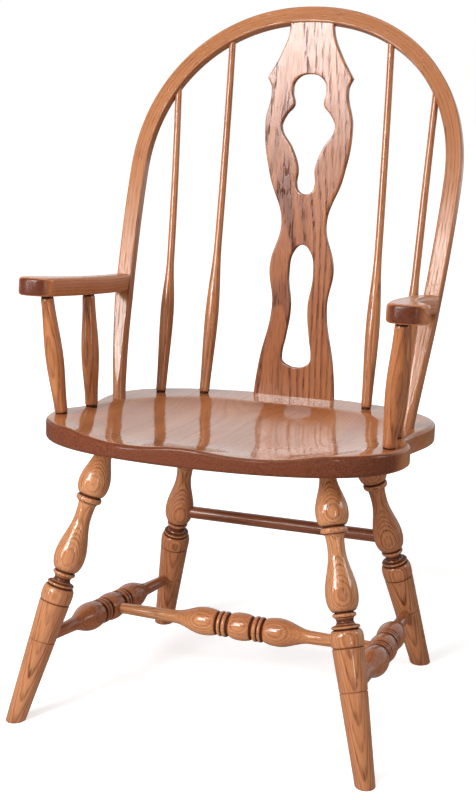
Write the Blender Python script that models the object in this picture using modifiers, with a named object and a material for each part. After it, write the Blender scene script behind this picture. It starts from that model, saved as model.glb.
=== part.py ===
"""Fiddleback armchair: a bow-back Windsor in oak with a pierced, fiddle-shaped splat.

Metres, +Z up. The origin is on the floor at the middle of the chair's footprint, and the
front of the chair faces -Y. The sitter's left hand is at +X.

A sloped, dished plank seat stands on four raked, turned legs that are tied by an H of turned
stretchers and one plain rear rail. A bent bow, four bent spindles and the splat make the back,
and two flat arms run from turned posts to the front of the bow. Every joint is a round tenon
or a housed end in a socket that is cut from the same sizes, with CLEARANCE all round.
"""
import math

import bmesh
import bpy
from mathutils import Matrix, Vector

CHAIR = "fiddleback_armchair"
CLEARANCE = 0.0003      # glue gap between a tenon and its socket
TURNED_STEPS = 12       # facets round a turned piece
EASE_STEPS = 4          # points along an S curve of a turning
DOME_STEPS = 3          # points along a round shoulder of a turning
SHORT_STEPS = 2
BEAD_ANGLES = (90, 50, 0, -50, -90)
EDGE_STEPS = 1          # extra points round a board's edge
SHARP_EDGE = math.radians(50)
WELD = 0.00001
LACQUER_ROUGHNESS = 0.28
SIDES = {"left": 1.0, "right": -1.0}

# Shades of the oak
SEAT_SHADE = (0.46, 0.24, 0.13)
BOW_SHADE = (0.55, 0.27, 0.13)
LEG_SHADE = (0.50, 0.24, 0.11)
STRETCHER_SHADE = (0.48, 0.22, 0.10)
SPLAT_SHADE = (0.58, 0.34, 0.20)
SPINDLE_SHADE = (0.48, 0.23, 0.11)
ARM_SHADE = (0.34, 0.14, 0.07)
POST_SHADE = (0.47, 0.22, 0.10)

# Seat plank: its top slopes down to the back, and its outline is wasp-waisted behind the arm posts
SEAT_HEIGHT = 0.440             # top of the plank at the origin
SEAT_SLOPE = 0.070              # fall per metre towards the back
SEAT_THICKNESS = 0.031
SEAT_EDGE_RADIUS = 0.006
SEAT_FRONT_Y = -0.2685
SEAT_BACK_Y = 0.2025
SEAT_CORNER_X = 0.282           # half width at the front corners
SEAT_CORNER_Y = -0.110
SEAT_WAIST_X = 0.262            # half width at the waist
SEAT_WAIST_Y = -0.045
SEAT_LOBE_X = 0.272             # half width at the rear lobes
SEAT_LOBE_Y = 0.052
SEAT_FRONT_SWEEP = 0.170        # handle lengths of the outline's curves
SEAT_CORNER_SWEEP = 0.105
SEAT_WAIST_SWEEP = 0.030
SEAT_LOBE_SWEEP = 0.035
SEAT_SHOULDER_SWEEP = 0.105
SEAT_BACK_SWEEP = 0.155
SEAT_CURVE_STEPS = 9
DISH_Y = -0.080                 # middle of the dish for the sitter's back half
DISH_HALF_WIDTH = 0.245
DISH_HALF_DEPTH = 0.190
DISH_DEPTH = 0.0100
THIGH_X = 0.100                 # middles of the two hollows that run out over the front edge
THIGH_Y = -0.130
THIGH_HALF_WIDTH = 0.142
THIGH_HALF_DEPTH = 0.210
THIGH_DEPTH = 0.0095
DISH_RISE = 0.004               # how far a hollow's ellipsoid is centred above the plank
DISH_SEGMENTS = 36
DISH_RINGS = 20

# Legs: feet on the floor, tops where the axes meet the underside of the seat
FRONT_FOOT_X = 0.278
FRONT_FOOT_Y = -0.273
FRONT_TOP_X = 0.1727
FRONT_TOP_Y = -0.1510
FRONT_BEAD_RISE = 0.3572        # foot to the turned bead, along the leg
REAR_FOOT_X = 0.2333
REAR_FOOT_Y = 0.1680
REAR_TOP_X = 0.1456
REAR_TOP_Y = 0.1005
REAR_BEAD_RISE = 0.3255
LEG_TENON_RADIUS = 0.0120
LEG_TENON_LENGTH = 0.0150
LEG_UPPER_VASE_RADIUS = 0.0238
LEG_BEAD_RADIUS = 0.0196
LEG_QUIRK_RADIUS = 0.0155       # the cut each side of the bead
LEG_NECK_RADIUS = 0.0126
LEG_VASE_RADIUS = 0.0235
LEG_RING_RADIUS = 0.0172
LEG_COVE_RADIUS = 0.0130
LEG_COLLAR_RADIUS = 0.0206
LEG_SHOULDER_RADIUS = 0.0240
LEG_TAPER_RADIUS = 0.0231
LEG_FOOT_RADIUS = 0.0145
LEG_GROOVE_DEPTH = 0.0014
LEG_GROOVE_HALF = 0.0011
LEG_UPPER_VASE_RISE = 0.0255    # stations along the leg, measured from the bead
LEG_UPPER_NECK_RISE = 0.0780
LEG_NECK_DROP = 0.0268
LEG_VASE_DROP = 0.0916
LEG_VASE_END_DROP = 0.1155
LEG_RING_DROP = 0.1197
LEG_COVE_DROP = 0.1295
LEG_COLLAR_DROP = 0.1366
LEG_SHOULDER_DROP = 0.1530
LEG_TAPER_DROP = 0.1650
LEG_RAIL_DROP = 0.2266          # scored line that the side stretchers meet in front
REAR_RAIL_LOWER = 0.0045        # how far below that line they meet the rear legs
LEG_FOOT_DROP = 0.3572          # where the taper has come down to LEG_FOOT_RADIUS
LEG_REAR_RAIL_DROP = 0.0945     # where the rear rail meets the rear legs
LEG_BEAD_HALF = 0.0052
LEG_RING_HALF = 0.0036

# Stretchers: one turning for the two side stretchers and the centre one
STRETCHER_BEAD_RADIUS = 0.0220
STRETCHER_QUIRK_RADIUS = 0.0162
STRETCHER_RING_RADIUS = 0.0202
STRETCHER_RING_NOTCH_RADIUS = 0.0185
STRETCHER_VASE_RADIUS = 0.0222
STRETCHER_ROD_RADIUS = 0.0104
STRETCHER_TENON_RADIUS = 0.0080
STRETCHER_BEAD_HALF = 0.0180
STRETCHER_RING_INNER = 0.0225   # stations from the middle of the stretcher
STRETCHER_RING_OUTER = 0.0365
STRETCHER_RING_CHAMFER = 0.0021
STRETCHER_NOTCH_HALF = 0.0014   # notch between the two rings
STRETCHER_VASE_START = 0.0400
STRETCHER_VASE_OUT = 0.0630
STRETCHER_ROD_OUT = 0.1150
CENTRE_TENON_LENGTH = 0.0150    # into the bead of the side stretcher
REAR_RAIL_RADIUS = 0.0104
REAR_RAIL_TENON_RADIUS = 0.0078
REAR_RAIL_TAPER = 0.0350        # length over which the rail swells from its tenons
LEG_SOCKET_PAST_AXIS = 0.0040   # how far a stretcher's tenon runs past the leg's axis

# Bow: an arch bent in one leaning plane, a flat stick with soft corners, rounded at its feet
BOW_FOOT_X = 0.240
BOW_FOOT_Y = 0.008
BOW_LEAN = math.radians(23.3)
BOW_HALF_WIDTH = 0.2632         # of the centre line, at the spring of the arch
BOW_SPRING = 0.3863             # foot to spring, along the plane
BOW_ARCH_RISE = 0.2646          # spring to crown, along the plane
BOW_ARCH_POWER = 2.1            # superellipse power of the arch
BOW_FLARE_POWER = 1.67          # how the limbs curve in to the feet
BOW_WIDTH = 0.0260              # in the plane of the bow
BOW_DEPTH = 0.0175              # front to back
BOW_CORNER = 0.0028
BOW_FOOT_RADIUS = 0.0105
BOW_ROUND_FROM = 0.160          # height along the limb where it starts to go round
BOW_ROUND_UNTIL = 0.012         # height where it is quite round
BOW_KICK = 0.0157               # how far the feet are bent back out of the bow's plane
BOW_KICK_FROM = 0.200           # height along the limb where that bend starts
BOW_TENON_LENGTH = 0.0170
BOW_ARCH_STEPS = 13
BOW_LIMB_STEPS = 9

# Splat: a thin bent board, housed in the seat and in the bow
SPLAT_FOOT_Y = 0.1844
SPLAT_THICKNESS = 0.010
SPLAT_BEND = 0.007              # how far its middle bows back
SPLAT_FOOT_TENON = 0.014
SPLAT_HEAD_TENON = 0.0085
SPLAT_HEAD_HALF = 0.0376
SPLAT_HEAD_STRAIGHT = 0.014     # parallel length below the bow
SPLAT_FOOT_HALF = 0.0695
SPLAT_FOOT_FLARE = (0.053, 0.0640)      # height up the board, half width
SPLAT_LOWER_WAIST = (0.149, 0.0467)
SPLAT_LOWER_LOBE = (0.2125, 0.0545)
SPLAT_WAIST = (0.286, 0.0382)
SPLAT_SHOULDER_SLOPE = (0.359, 0.0620)
SPLAT_SHOULDER = (0.440, 0.0745)
SPLAT_NOTCH = (0.5015, 0.0655)
SPLAT_EAR = (0.5190, 0.0725)
SPLAT_NECK = (0.5560, 0.0500)
UPPER_HOLE_TOP = 0.527
UPPER_HOLE_ARCH = (0.499, 0.0285)
UPPER_HOLE_NECK = (0.477, 0.0258)
UPPER_HOLE_CHEEK = (0.461, 0.0390)
UPPER_HOLE_LOBE = (0.441, 0.0475)
UPPER_HOLE_FALL = (0.404, 0.0265)
UPPER_HOLE_STEM = (0.370, 0.0147)
UPPER_HOLE_TAIL = (0.347, 0.0165)
UPPER_HOLE_BOTTOM = 0.331
LOWER_HOLE_TOP = 0.251
LOWER_HOLE_LOBE = (0.204, 0.0218)
LOWER_HOLE_WAIST = (0.151, 0.0155)
LOWER_HOLE_FLARE = (0.072, 0.0262)
LOWER_HOLE_BOTTOM = 0.047
SPLAT_CURVE_STEPS = 4

# Spindles: slender, swelling in the lower third, bent back like the splat
INNER_SPINDLE_FOOT = (0.1403, 0.1368)   # X, Y on the seat
INNER_SPINDLE_HEAD_X = 0.1345           # X where its axis meets the bow
INNER_SPINDLE_BEND = (0.0, 0.0083)      # how far its middle bows outwards and back
OUTER_SPINDLE_FOOT = (0.2060, 0.1082)
OUTER_SPINDLE_HEAD_INSET = 0.0449       # in from the bow's widest
OUTER_SPINDLE_BEND = (-0.0019, 0.0044)
SPINDLE_HEAD_RADIUS = 0.0054
SPINDLE_NECK_RADIUS = 0.0061
SPINDLE_SWELL_RADIUS = 0.0111
SPINDLE_FOOT_RADIUS = 0.0083
SPINDLE_NECK = 0.43             # shares of the length where the neck and the swell lie
SPINDLE_SWELL = 0.225
SPINDLE_FACETS = 2              # points per quarter of a spindle's section, less two
SPINDLE_FOOT_TENON = 0.014
SPINDLE_HEAD_SOCKET = 0.045     # slanting way through the bow
SPINDLE_HEAD_FORWARD = 0.0019   # its tip's way to the front of the bow's middle
SPINDLE_POINTS = 13

# Arms: flat boards that fall to the back, a wide paddle in front, tenoned into the bow
ARM_HEIGHT = 0.6150             # underside of the board at the origin
ARM_FALL = 0.122                # per metre towards the back
ARM_THICKNESS = 0.0295
ARM_EDGE_RADIUS = 0.005
ARM_PADDLE_TIP = (0.0134, -0.0335)      # X outwards and Y, from the front post's head
ARM_PADDLE_INNER = (-0.0131, -0.0255)
ARM_PADDLE_OUTER = (0.0339, -0.0255)
ARM_PADDLE_SIDE = (0.0399, -0.0075)
ARM_INNER = (-0.0226, 0.0005)
ARM_SWEEP_OUT = (0.0285, -0.0380)       # from the rear post's head
ARM_WAIST_OUTER = (0.0145, 0.0120)
ARM_WAIST_INNER = (-0.0155, 0.0170)
ARM_REAR_OUTER = 0.0165         # from the middle of the bow's limb
ARM_REAR_INNER = 0.0125
ARM_RUN_PAST = 0.020            # length left on the blank for the cut against the bow
ARM_TENON_RADIUS = 0.0055
ARM_TENON_LENGTH = 0.0115
ARM_TENON_ROOT = 0.0100         # how deep the tenon is rooted in the arm
ARM_CURVE_STEPS = 5

# Arm posts: turned, fullest in the middle, from the seat to the arms
FRONT_POST_FOOT = (0.2598, -0.1347)
FRONT_POST_HEAD = (0.2756, -0.1405)
REAR_POST_FOOT = (0.2470, -0.0600)
REAR_POST_HEAD = (0.2545, -0.0470)
POST_FOOT_RADIUS = 0.0100
POST_HEAD_RADIUS = 0.0098
POST_SWELL_RADIUS = 0.0137
POST_SWELL = 0.48               # share of the length where a post is fullest
POST_FOOT_TENON = 0.016
POST_HEAD_TENON = 0.015


def clear_scene():
    for old in list(bpy.data.objects):
        bpy.data.objects.remove(old, do_unlink=True)


def new_collection(name):
    made = bpy.data.collections.new(name)
    bpy.context.scene.collection.children.link(made)
    return made


def lacquered_oak(name, colour):
    """Oak under gloss lacquer, in one piece's own shade."""
    made = bpy.data.materials.new(name)
    made.use_nodes = True
    shader = made.node_tree.nodes["Principled BSDF"]
    shader.inputs["Base Color"].default_value = (*colour, 1.0)
    shader.inputs["Roughness"].default_value = LACQUER_ROUGHNESS
    shader.inputs["Metallic"].default_value = 0.0
    made.diffuse_color = (*colour, 1.0)
    return made


def place(name, data, matrix, material=None):
    """Put a part in the chair, or a cutter, which has no material, among the cutters."""
    made = bpy.data.objects.new(name, data)
    if material is None:
        CUTTERS.objects.link(made)
        made.hide_render = True
        made.display_type = "WIRE"
    else:
        PARTS.objects.link(made)
        made.parent = CHAIR_ROOT
        data.materials.clear()
        data.materials.append(material)
    made.matrix_world = matrix
    return made


def cut(target, cutter, operation="DIFFERENCE"):
    step = target.modifiers.new(cutter.name, "BOOLEAN")
    step.operation = operation
    step.solver = "EXACT"
    step.object = cutter


def along(start, end):
    """A frame at start with its Z axis towards end."""
    turn = (end - start).to_track_quat("Z", "Y").to_matrix().to_4x4()
    return Matrix.Translation(start) @ turn


def frame(origin, up):
    """A frame in a leaning plane: X across the chair, Y up the plane, Z out of its front."""
    across = Vector((1.0, 0.0, 0.0))
    rise = up.normalized()
    front = across.cross(rise)
    turn = Matrix((across, rise, front)).transposed().to_4x4()
    return Matrix.Translation(origin) @ turn


def mirrored(point, side):
    return Vector((point[0] * side, point[1], point[2]))


def seat_point(x, y, below=0.0):
    """A point on the seat's top plane, or on a plane below it."""
    drop = below * math.hypot(1.0, SEAT_SLOPE)
    return Vector((x, y, SEAT_HEIGHT - SEAT_SLOPE * y - drop))


def arm_point(x, y):
    """A point on the underside of the arms."""
    return Vector((x, y, ARM_HEIGHT - ARM_FALL * y))


def socket_radius(radius):
    """Radius of a faceted socket that clears a round tenon all the way round."""
    return (radius + CLEARANCE) / math.cos(math.pi / TURNED_STEPS)


def curve_between(start, end, count, shape):
    """Points after start up to end on a turned profile of (height, radius) pairs.

    ease is an S curve, flat at both ends; dome is a quarter ellipse, flat at its start;
    line is straight.
    """
    points = []
    for step in range(1, count + 1):
        t = step / count
        share = {
            "line": t,
            "ease": 0.5 - 0.5 * math.cos(math.pi * t),
            "dome": 1.0 - math.sqrt(max(0.0, 1.0 - t * t)),
        }[shape]
        height = start[0] + (end[0] - start[0]) * t
        points.append((height, start[1] + (end[1] - start[1]) * share))
    return points


def bead_points(middle, half, radius, root):
    """A half-round bead across a profile, from its upper root to its lower one."""
    angles = [math.radians(a) for a in BEAD_ANGLES]
    return [(middle + half * math.sin(a), root + (radius - root) * math.cos(a)) for a in angles]


def turned(name, profile, matrix, material=None):
    """A solid of revolution about local Z from (height, radius) pairs, top to bottom."""
    heights = [profile[0][0]] + [h for h, _ in profile] + [profile[-1][0]]
    radii = [0.0] + [r for _, r in profile] + [0.0]
    mesh = bpy.data.meshes.new(name)
    shape = bmesh.new()
    verts = [shape.verts.new((r, 0.0, h)) for h, r in zip(heights, radii)]
    for upper, lower in zip(verts[:-1], verts[1:]):
        shape.edges.new((upper, lower))
    shape.to_mesh(mesh)
    shape.free()
    made = place(name, mesh, matrix, material)
    screw = made.modifiers.new("turn", "SCREW")
    screw.axis = "Z"
    screw.steps = TURNED_STEPS
    screw.render_steps = TURNED_STEPS
    screw.use_merge_vertices = True
    screw.merge_threshold = WELD
    screw.use_smooth_shade = True
    return made


def socket(target, name, start, end, radius):
    """Bore a round socket from start to end in a piece."""
    wide = socket_radius(radius)
    length = (end - start).length
    cut(target, turned(name, [(length, wide), (0.0, wide)], along(start, end)))


def bend_share(share):
    """How much of a piece's bend shows along it: none at its ends, all in the middle."""
    return 4.0 * share * (1.0 - share)


def board_curve(name, thickness, edge_radius, steps):
    """An empty outline of a flat board, centred on local Z, with its edges rounded."""
    data = bpy.data.curves.new(name, "CURVE")
    data.dimensions = "2D"
    data.fill_mode = "BOTH"
    data.resolution_u = steps
    data.extrude = thickness / 2 - edge_radius
    data.bevel_depth = edge_radius
    data.bevel_resolution = EDGE_STEPS
    data.offset = -edge_radius
    return data


def outline_mesh(name, loops, thickness, edge_radius, steps):
    """A flat board from closed outlines of (x, y, is_corner); later loops are holes."""
    data = board_curve(name, thickness, edge_radius, steps)
    for loop in loops:
        spline = data.splines.new("BEZIER")
        spline.bezier_points.add(len(loop) - 1)
        spline.use_cyclic_u = True
        for point, (x, y, is_corner) in zip(spline.bezier_points, loop):
            point.co = (x, y, 0.0)
            kind = "VECTOR" if is_corner else "AUTO"
            point.handle_left_type = kind
            point.handle_right_type = kind
    return curve_to_mesh(name, data)


def curve_to_mesh(name, data):
    """The welded mesh of a curve, so that it can be cut."""
    guide = bpy.data.objects.new(name, data)
    CUTTERS.objects.link(guide)
    graph = bpy.context.evaluated_depsgraph_get()
    mesh = bpy.data.meshes.new_from_object(guide.evaluated_get(graph))
    bpy.data.objects.remove(guide, do_unlink=True)
    shape = bmesh.new()
    shape.from_mesh(mesh)
    bmesh.ops.remove_doubles(shape, verts=shape.verts, dist=WELD)
    bmesh.ops.recalc_face_normals(shape, faces=shape.faces)
    shape.to_mesh(mesh)
    shape.free()
    return mesh


def box_cutter(name, size, matrix):
    """A box whose size is (x, y, z), centred on its frame."""
    mesh = bpy.data.meshes.new(name)
    shape = bmesh.new()
    bmesh.ops.create_cube(shape, size=1.0)
    bmesh.ops.scale(shape, vec=size, verts=shape.verts)
    shape.to_mesh(mesh)
    shape.free()
    return place(name, mesh, matrix)


def mirror_loop(half):
    """Close a half outline, which starts and ends on the centre line or runs up one side."""
    other = [(-x, y, c) for x, y, c in reversed(half) if x > 0.0]
    return half + other


# The bow's plane, with its origin between the feet on the seat
BOW_UP = Vector((0.0, math.sin(BOW_LEAN), math.cos(BOW_LEAN)))
BOW_FRAME = frame(seat_point(0.0, BOW_FOOT_Y), BOW_UP)


def bow_arch_height(x):
    """Height of the bow's centre line over the spring, at a distance from the middle."""
    share = (abs(x) / BOW_HALF_WIDTH) ** BOW_ARCH_POWER
    return BOW_ARCH_RISE * (1.0 - share) ** (1.0 / BOW_ARCH_POWER)


def bow_limb_x(height):
    """Distance of a limb's centre line from the middle, below the spring."""
    share = (BOW_SPRING - height) / BOW_SPRING
    return BOW_HALF_WIDTH - (BOW_HALF_WIDTH - BOW_FOOT_X) * share ** BOW_FLARE_POWER


def bow_spot(point, outward=(0.0, 0.0), w=0.0, n=0.0):
    """A point of the bow in its frame, a way outwards and to the front of its centre line."""
    bent = max(0.0, BOW_KICK_FROM - point[1]) / BOW_KICK_FROM
    across = Vector(point) + Vector(outward) * w
    return Vector((across.x, across.y, n - BOW_KICK * bent ** 2))


def bow_path():
    """The centre line from the right foot's tenon over the crown to the left one."""
    half = []
    for step in range(BOW_ARCH_STEPS):
        angle = math.pi / 2 * step / BOW_ARCH_STEPS
        power = 2.0 / BOW_ARCH_POWER
        x = BOW_HALF_WIDTH * math.sin(angle) ** power
        half.append((x, BOW_SPRING + BOW_ARCH_RISE * math.cos(angle) ** power))
    for step in range(BOW_LIMB_STEPS + 1):
        height = BOW_SPRING * (1.0 - step / BOW_LIMB_STEPS)
        half.append((bow_limb_x(height), height))
    foot = Vector(half[-1])
    run = (foot - Vector(half[-2])).normalized()
    half.append(tuple(foot + run * BOW_TENON_LENGTH))
    return [(-x, h) for x, h in reversed(half[1:])] + half


def bow_section():
    """The bow's section with rounded corners: outwards in the plane, then towards the front."""
    points = []
    for corner, (across, front) in enumerate(((1, 1), (-1, 1), (-1, -1), (1, -1))):
        w = across * (BOW_WIDTH / 2 - BOW_CORNER)
        n = front * (BOW_DEPTH / 2 - BOW_CORNER)
        for eighth in (0, 1, 2):
            angle = math.pi / 2 * corner + math.pi / 4 * eighth
            points.append((w + BOW_CORNER * math.cos(angle), n + BOW_CORNER * math.sin(angle)))
    return points


def build_bow(material):
    """A loft along the bow from its flat section to its round feet."""
    path = [Vector(p) for p in bow_path()]
    section = bow_section()
    shape = bmesh.new()
    rings = []
    for index, centre in enumerate(path):
        before = path[max(index - 1, 0)]
        after = path[min(index + 1, len(path) - 1)]
        run = (after - before).normalized()
        outward = Vector((-run.y, run.x))
        share = (BOW_ROUND_FROM - centre.y) / (BOW_ROUND_FROM - BOW_ROUND_UNTIL)
        share = min(1.0, max(0.0, share))
        ring = []
        for w, n in section:
            round_off = BOW_FOOT_RADIUS / math.hypot(w, n)
            w_here = w + (w * round_off - w) * share
            n_here = n + (n * round_off - n) * share
            ring.append(shape.verts.new(bow_spot(centre, outward, w_here, n_here)))
        rings.append(ring)
    count = len(section)
    for ring, following in zip(rings[:-1], rings[1:]):
        for k in range(count):
            j = (k + 1) % count
            shape.faces.new((ring[k], ring[j], following[j], following[k]))
    shape.faces.new(rings[0])
    shape.faces.new(rings[-1])
    bmesh.ops.recalc_face_normals(shape, faces=shape.faces)
    mesh = bpy.data.meshes.new("bow")
    shape.to_mesh(mesh)
    shape.free()
    mesh.shade_smooth()
    mesh.set_sharp_from_angle(angle=SHARP_EDGE)
    return place("bow", mesh, BOW_FRAME, material)


def build_seat(material):
    """The plank: outline with a waist, rounded edges and a saddle with a pommel in front."""
    half = [
        ((0.0, SEAT_FRONT_Y), (1.0, 0.0), SEAT_FRONT_SWEEP, SEAT_FRONT_SWEEP),
        ((SEAT_CORNER_X, SEAT_CORNER_Y), (0.0, 1.0), SEAT_CORNER_SWEEP, SEAT_WAIST_SWEEP),
        ((SEAT_WAIST_X, SEAT_WAIST_Y), (0.0, 1.0), SEAT_WAIST_SWEEP, SEAT_LOBE_SWEEP),
        ((SEAT_LOBE_X, SEAT_LOBE_Y), (0.0, 1.0), SEAT_LOBE_SWEEP, SEAT_SHOULDER_SWEEP),
        ((0.0, SEAT_BACK_Y), (-1.0, 0.0), SEAT_BACK_SWEEP, SEAT_BACK_SWEEP),
    ]
    loop = half + [((-p[0], p[1]), (d[0], -d[1]), after, before)
                   for p, d, before, after in reversed(half[1:-1])]
    data = board_curve("seat", SEAT_THICKNESS, SEAT_EDGE_RADIUS, SEAT_CURVE_STEPS)
    spline = data.splines.new("BEZIER")
    spline.bezier_points.add(len(loop) - 1)
    spline.use_cyclic_u = True
    for point, (spot, run, before, after) in zip(spline.bezier_points, loop):
        point.handle_left_type = "FREE"
        point.handle_right_type = "FREE"
        point.co = (*spot, 0.0)
        point.handle_left = (spot[0] - run[0] * before, spot[1] - run[1] * before, 0.0)
        point.handle_right = (spot[0] + run[0] * after, spot[1] + run[1] * after, 0.0)
    mesh = curve_to_mesh("seat", data)
    tilt = Matrix.Rotation(-math.atan(SEAT_SLOPE), 4, "X")
    top = Matrix.Translation(seat_point(0.0, 0.0)) @ tilt
    seat = place("seat", mesh, top @ Matrix.Translation((0.0, 0.0, -SEAT_THICKNESS / 2)), material)
    scoop(seat, "dish", top, (0.0, DISH_Y), (DISH_HALF_WIDTH, DISH_HALF_DEPTH), DISH_DEPTH)
    for hand, side in SIDES.items():
        scoop(seat, f"thigh_{hand}", top, (THIGH_X * side, THIGH_Y),
              (THIGH_HALF_WIDTH, THIGH_HALF_DEPTH), THIGH_DEPTH)
    return seat


def scoop(seat, name, top, middle, half_size, depth):
    """Hollow the seat with an ellipsoid that opens to half_size on the top plane."""
    bowl = bpy.data.meshes.new(name)
    shape = bmesh.new()
    bmesh.ops.create_uvsphere(
        shape, u_segments=DISH_SEGMENTS, v_segments=DISH_RINGS, radius=1.0)
    height = depth + DISH_RISE
    spread = 1.0 / math.sqrt(1.0 - (DISH_RISE / height) ** 2)
    size = (half_size[0] * spread, half_size[1] * spread, height)
    bmesh.ops.scale(shape, vec=size, verts=shape.verts)
    shape.to_mesh(bowl)
    shape.free()
    cut(seat, place(name, bowl, top @ Matrix.Translation((*middle, DISH_RISE))))


def leg_axis(end, side):
    """Foot and top of a leg's axis, and the foot's distance to the bead."""
    if end == "front":
        foot = Vector((FRONT_FOOT_X * side, FRONT_FOOT_Y, 0.0))
        top = seat_point(FRONT_TOP_X * side, FRONT_TOP_Y, SEAT_THICKNESS)
        return foot, top, FRONT_BEAD_RISE
    foot = Vector((REAR_FOOT_X * side, REAR_FOOT_Y, 0.0))
    top = seat_point(REAR_TOP_X * side, REAR_TOP_Y, SEAT_THICKNESS)
    return foot, top, REAR_BEAD_RISE


def leg_spot(end, side, drop):
    """A point on a leg's axis, a distance below its bead."""
    foot, top, bead = leg_axis(end, side)
    return foot + (top - foot).normalized() * (bead - drop)


def leg_profile(length, bead, past_foot):
    """The leg's turning, from the top of its tenon to just past the floor."""
    taper = (LEG_TAPER_RADIUS - LEG_FOOT_RADIUS) / (LEG_FOOT_DROP - LEG_TAPER_DROP)
    rail_radius = LEG_TAPER_RADIUS - taper * (LEG_RAIL_DROP - LEG_TAPER_DROP)
    end_drop = bead + past_foot
    end_radius = LEG_TAPER_RADIUS - taper * (end_drop - LEG_TAPER_DROP)
    neck = (-LEG_NECK_DROP, LEG_NECK_RADIUS)
    vase = (-LEG_VASE_DROP, LEG_VASE_RADIUS)
    upper_neck = (LEG_UPPER_NECK_RISE, LEG_TENON_RADIUS)
    upper_vase = (LEG_UPPER_VASE_RISE, LEG_UPPER_VASE_RADIUS)
    shoulder = (-LEG_SHOULDER_DROP, LEG_SHOULDER_RADIUS)
    taper_top = (-LEG_TAPER_DROP, LEG_TAPER_RADIUS - LEG_GROOVE_DEPTH)
    points = [(length - bead, LEG_TENON_RADIUS), upper_neck]
    points += curve_between(upper_neck, upper_vase, EASE_STEPS, "ease")
    bead_top = (LEG_BEAD_HALF, LEG_QUIRK_RADIUS)
    points += curve_between(upper_vase, bead_top, DOME_STEPS, "dome")
    points += bead_points(0.0, LEG_BEAD_HALF, LEG_BEAD_RADIUS, LEG_QUIRK_RADIUS)[1:]
    points += [neck]
    points += curve_between(neck, vase, EASE_STEPS, "ease")
    vase_end = (-LEG_VASE_END_DROP, LEG_COVE_RADIUS)
    points += curve_between(vase, vase_end, DOME_STEPS, "dome")
    points += bead_points(-LEG_RING_DROP, LEG_RING_HALF, LEG_RING_RADIUS, LEG_COVE_RADIUS)[1:]
    points += [(-LEG_COVE_DROP, LEG_COVE_RADIUS), (-LEG_COLLAR_DROP, LEG_COLLAR_RADIUS)]
    points += curve_between(points[-1], shoulder, SHORT_STEPS, "line")
    points += curve_between(shoulder, taper_top, SHORT_STEPS, "dome")
    points += [
        (-LEG_TAPER_DROP - LEG_GROOVE_DEPTH, LEG_TAPER_RADIUS),
        (-LEG_RAIL_DROP + LEG_GROOVE_HALF, rail_radius),
        (-LEG_RAIL_DROP, rail_radius - LEG_GROOVE_DEPTH / 2),
        (-LEG_RAIL_DROP - LEG_GROOVE_HALF, rail_radius),
        (-end_drop, end_radius),
    ]
    return [(bead + h, r) for h, r in points]


def build_legs(seat, material):
    """Four raked legs, socketed in the seat and sawn level on the floor."""
    reach = 2 * (REAR_FOOT_Y - FRONT_FOOT_Y) + 2 * FRONT_FOOT_X
    below = Matrix.Translation((0.0, 0.0, -reach / 2))
    floor = box_cutter("floor_level", (reach, reach, reach), below)
    past_foot = LEG_FOOT_RADIUS
    legs = {}
    for end in ("front", "rear"):
        for hand, side in SIDES.items():
            foot, top, bead = leg_axis(end, side)
            run = (top - foot).normalized()
            length = (top - foot).length + LEG_TENON_LENGTH
            profile = leg_profile(length, bead, past_foot)
            leg = turned(f"leg_{end}_{hand}", profile, along(foot, top), material)
            cut(leg, floor)
            bottom = top - run * LEG_TENON_LENGTH
            roof = top + run * (LEG_TENON_LENGTH + CLEARANCE)
            socket(seat, f"seat_socket_leg_{end}_{hand}", bottom, roof, LEG_TENON_RADIUS)
            legs[end, hand] = leg
    return legs


def stretcher_profile(length, tenon_length):
    """Bead in the middle, then on each side two rings, a vase, a rod and a tenon."""
    bead_end = (STRETCHER_BEAD_HALF, STRETCHER_QUIRK_RADIUS)
    vase_start = (STRETCHER_VASE_START, STRETCHER_QUIRK_RADIUS)
    vase = (STRETCHER_VASE_OUT, STRETCHER_VASE_RADIUS)
    rod = (STRETCHER_ROD_OUT, STRETCHER_ROD_RADIUS)
    between = (STRETCHER_RING_INNER + STRETCHER_RING_OUTER) / 2
    tip = length / 2
    half = curve_between((0.0, STRETCHER_BEAD_RADIUS), bead_end, DOME_STEPS, "dome")
    half += [
        (STRETCHER_RING_INNER, STRETCHER_QUIRK_RADIUS),
        (STRETCHER_RING_INNER + STRETCHER_RING_CHAMFER, STRETCHER_RING_RADIUS),
        (between - STRETCHER_NOTCH_HALF, STRETCHER_RING_RADIUS),
        (between, STRETCHER_RING_NOTCH_RADIUS),
        (between + STRETCHER_NOTCH_HALF, STRETCHER_RING_RADIUS),
        (STRETCHER_RING_OUTER - STRETCHER_RING_CHAMFER, STRETCHER_RING_RADIUS),
        (STRETCHER_RING_OUTER, STRETCHER_QUIRK_RADIUS),
        vase_start,
    ]
    half += list(reversed(curve_between(vase, vase_start, DOME_STEPS, "dome")[:-1])) + [vase]
    half += curve_between(vase, rod, EASE_STEPS, "ease")
    half += [(tip - tenon_length, STRETCHER_TENON_RADIUS), (tip, STRETCHER_TENON_RADIUS)]
    upper = list(reversed(half)) + [(0.0, STRETCHER_BEAD_RADIUS)]
    lower = [(-h, r) for h, r in half]
    return [(tip + h, r) for h, r in upper + lower]


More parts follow.
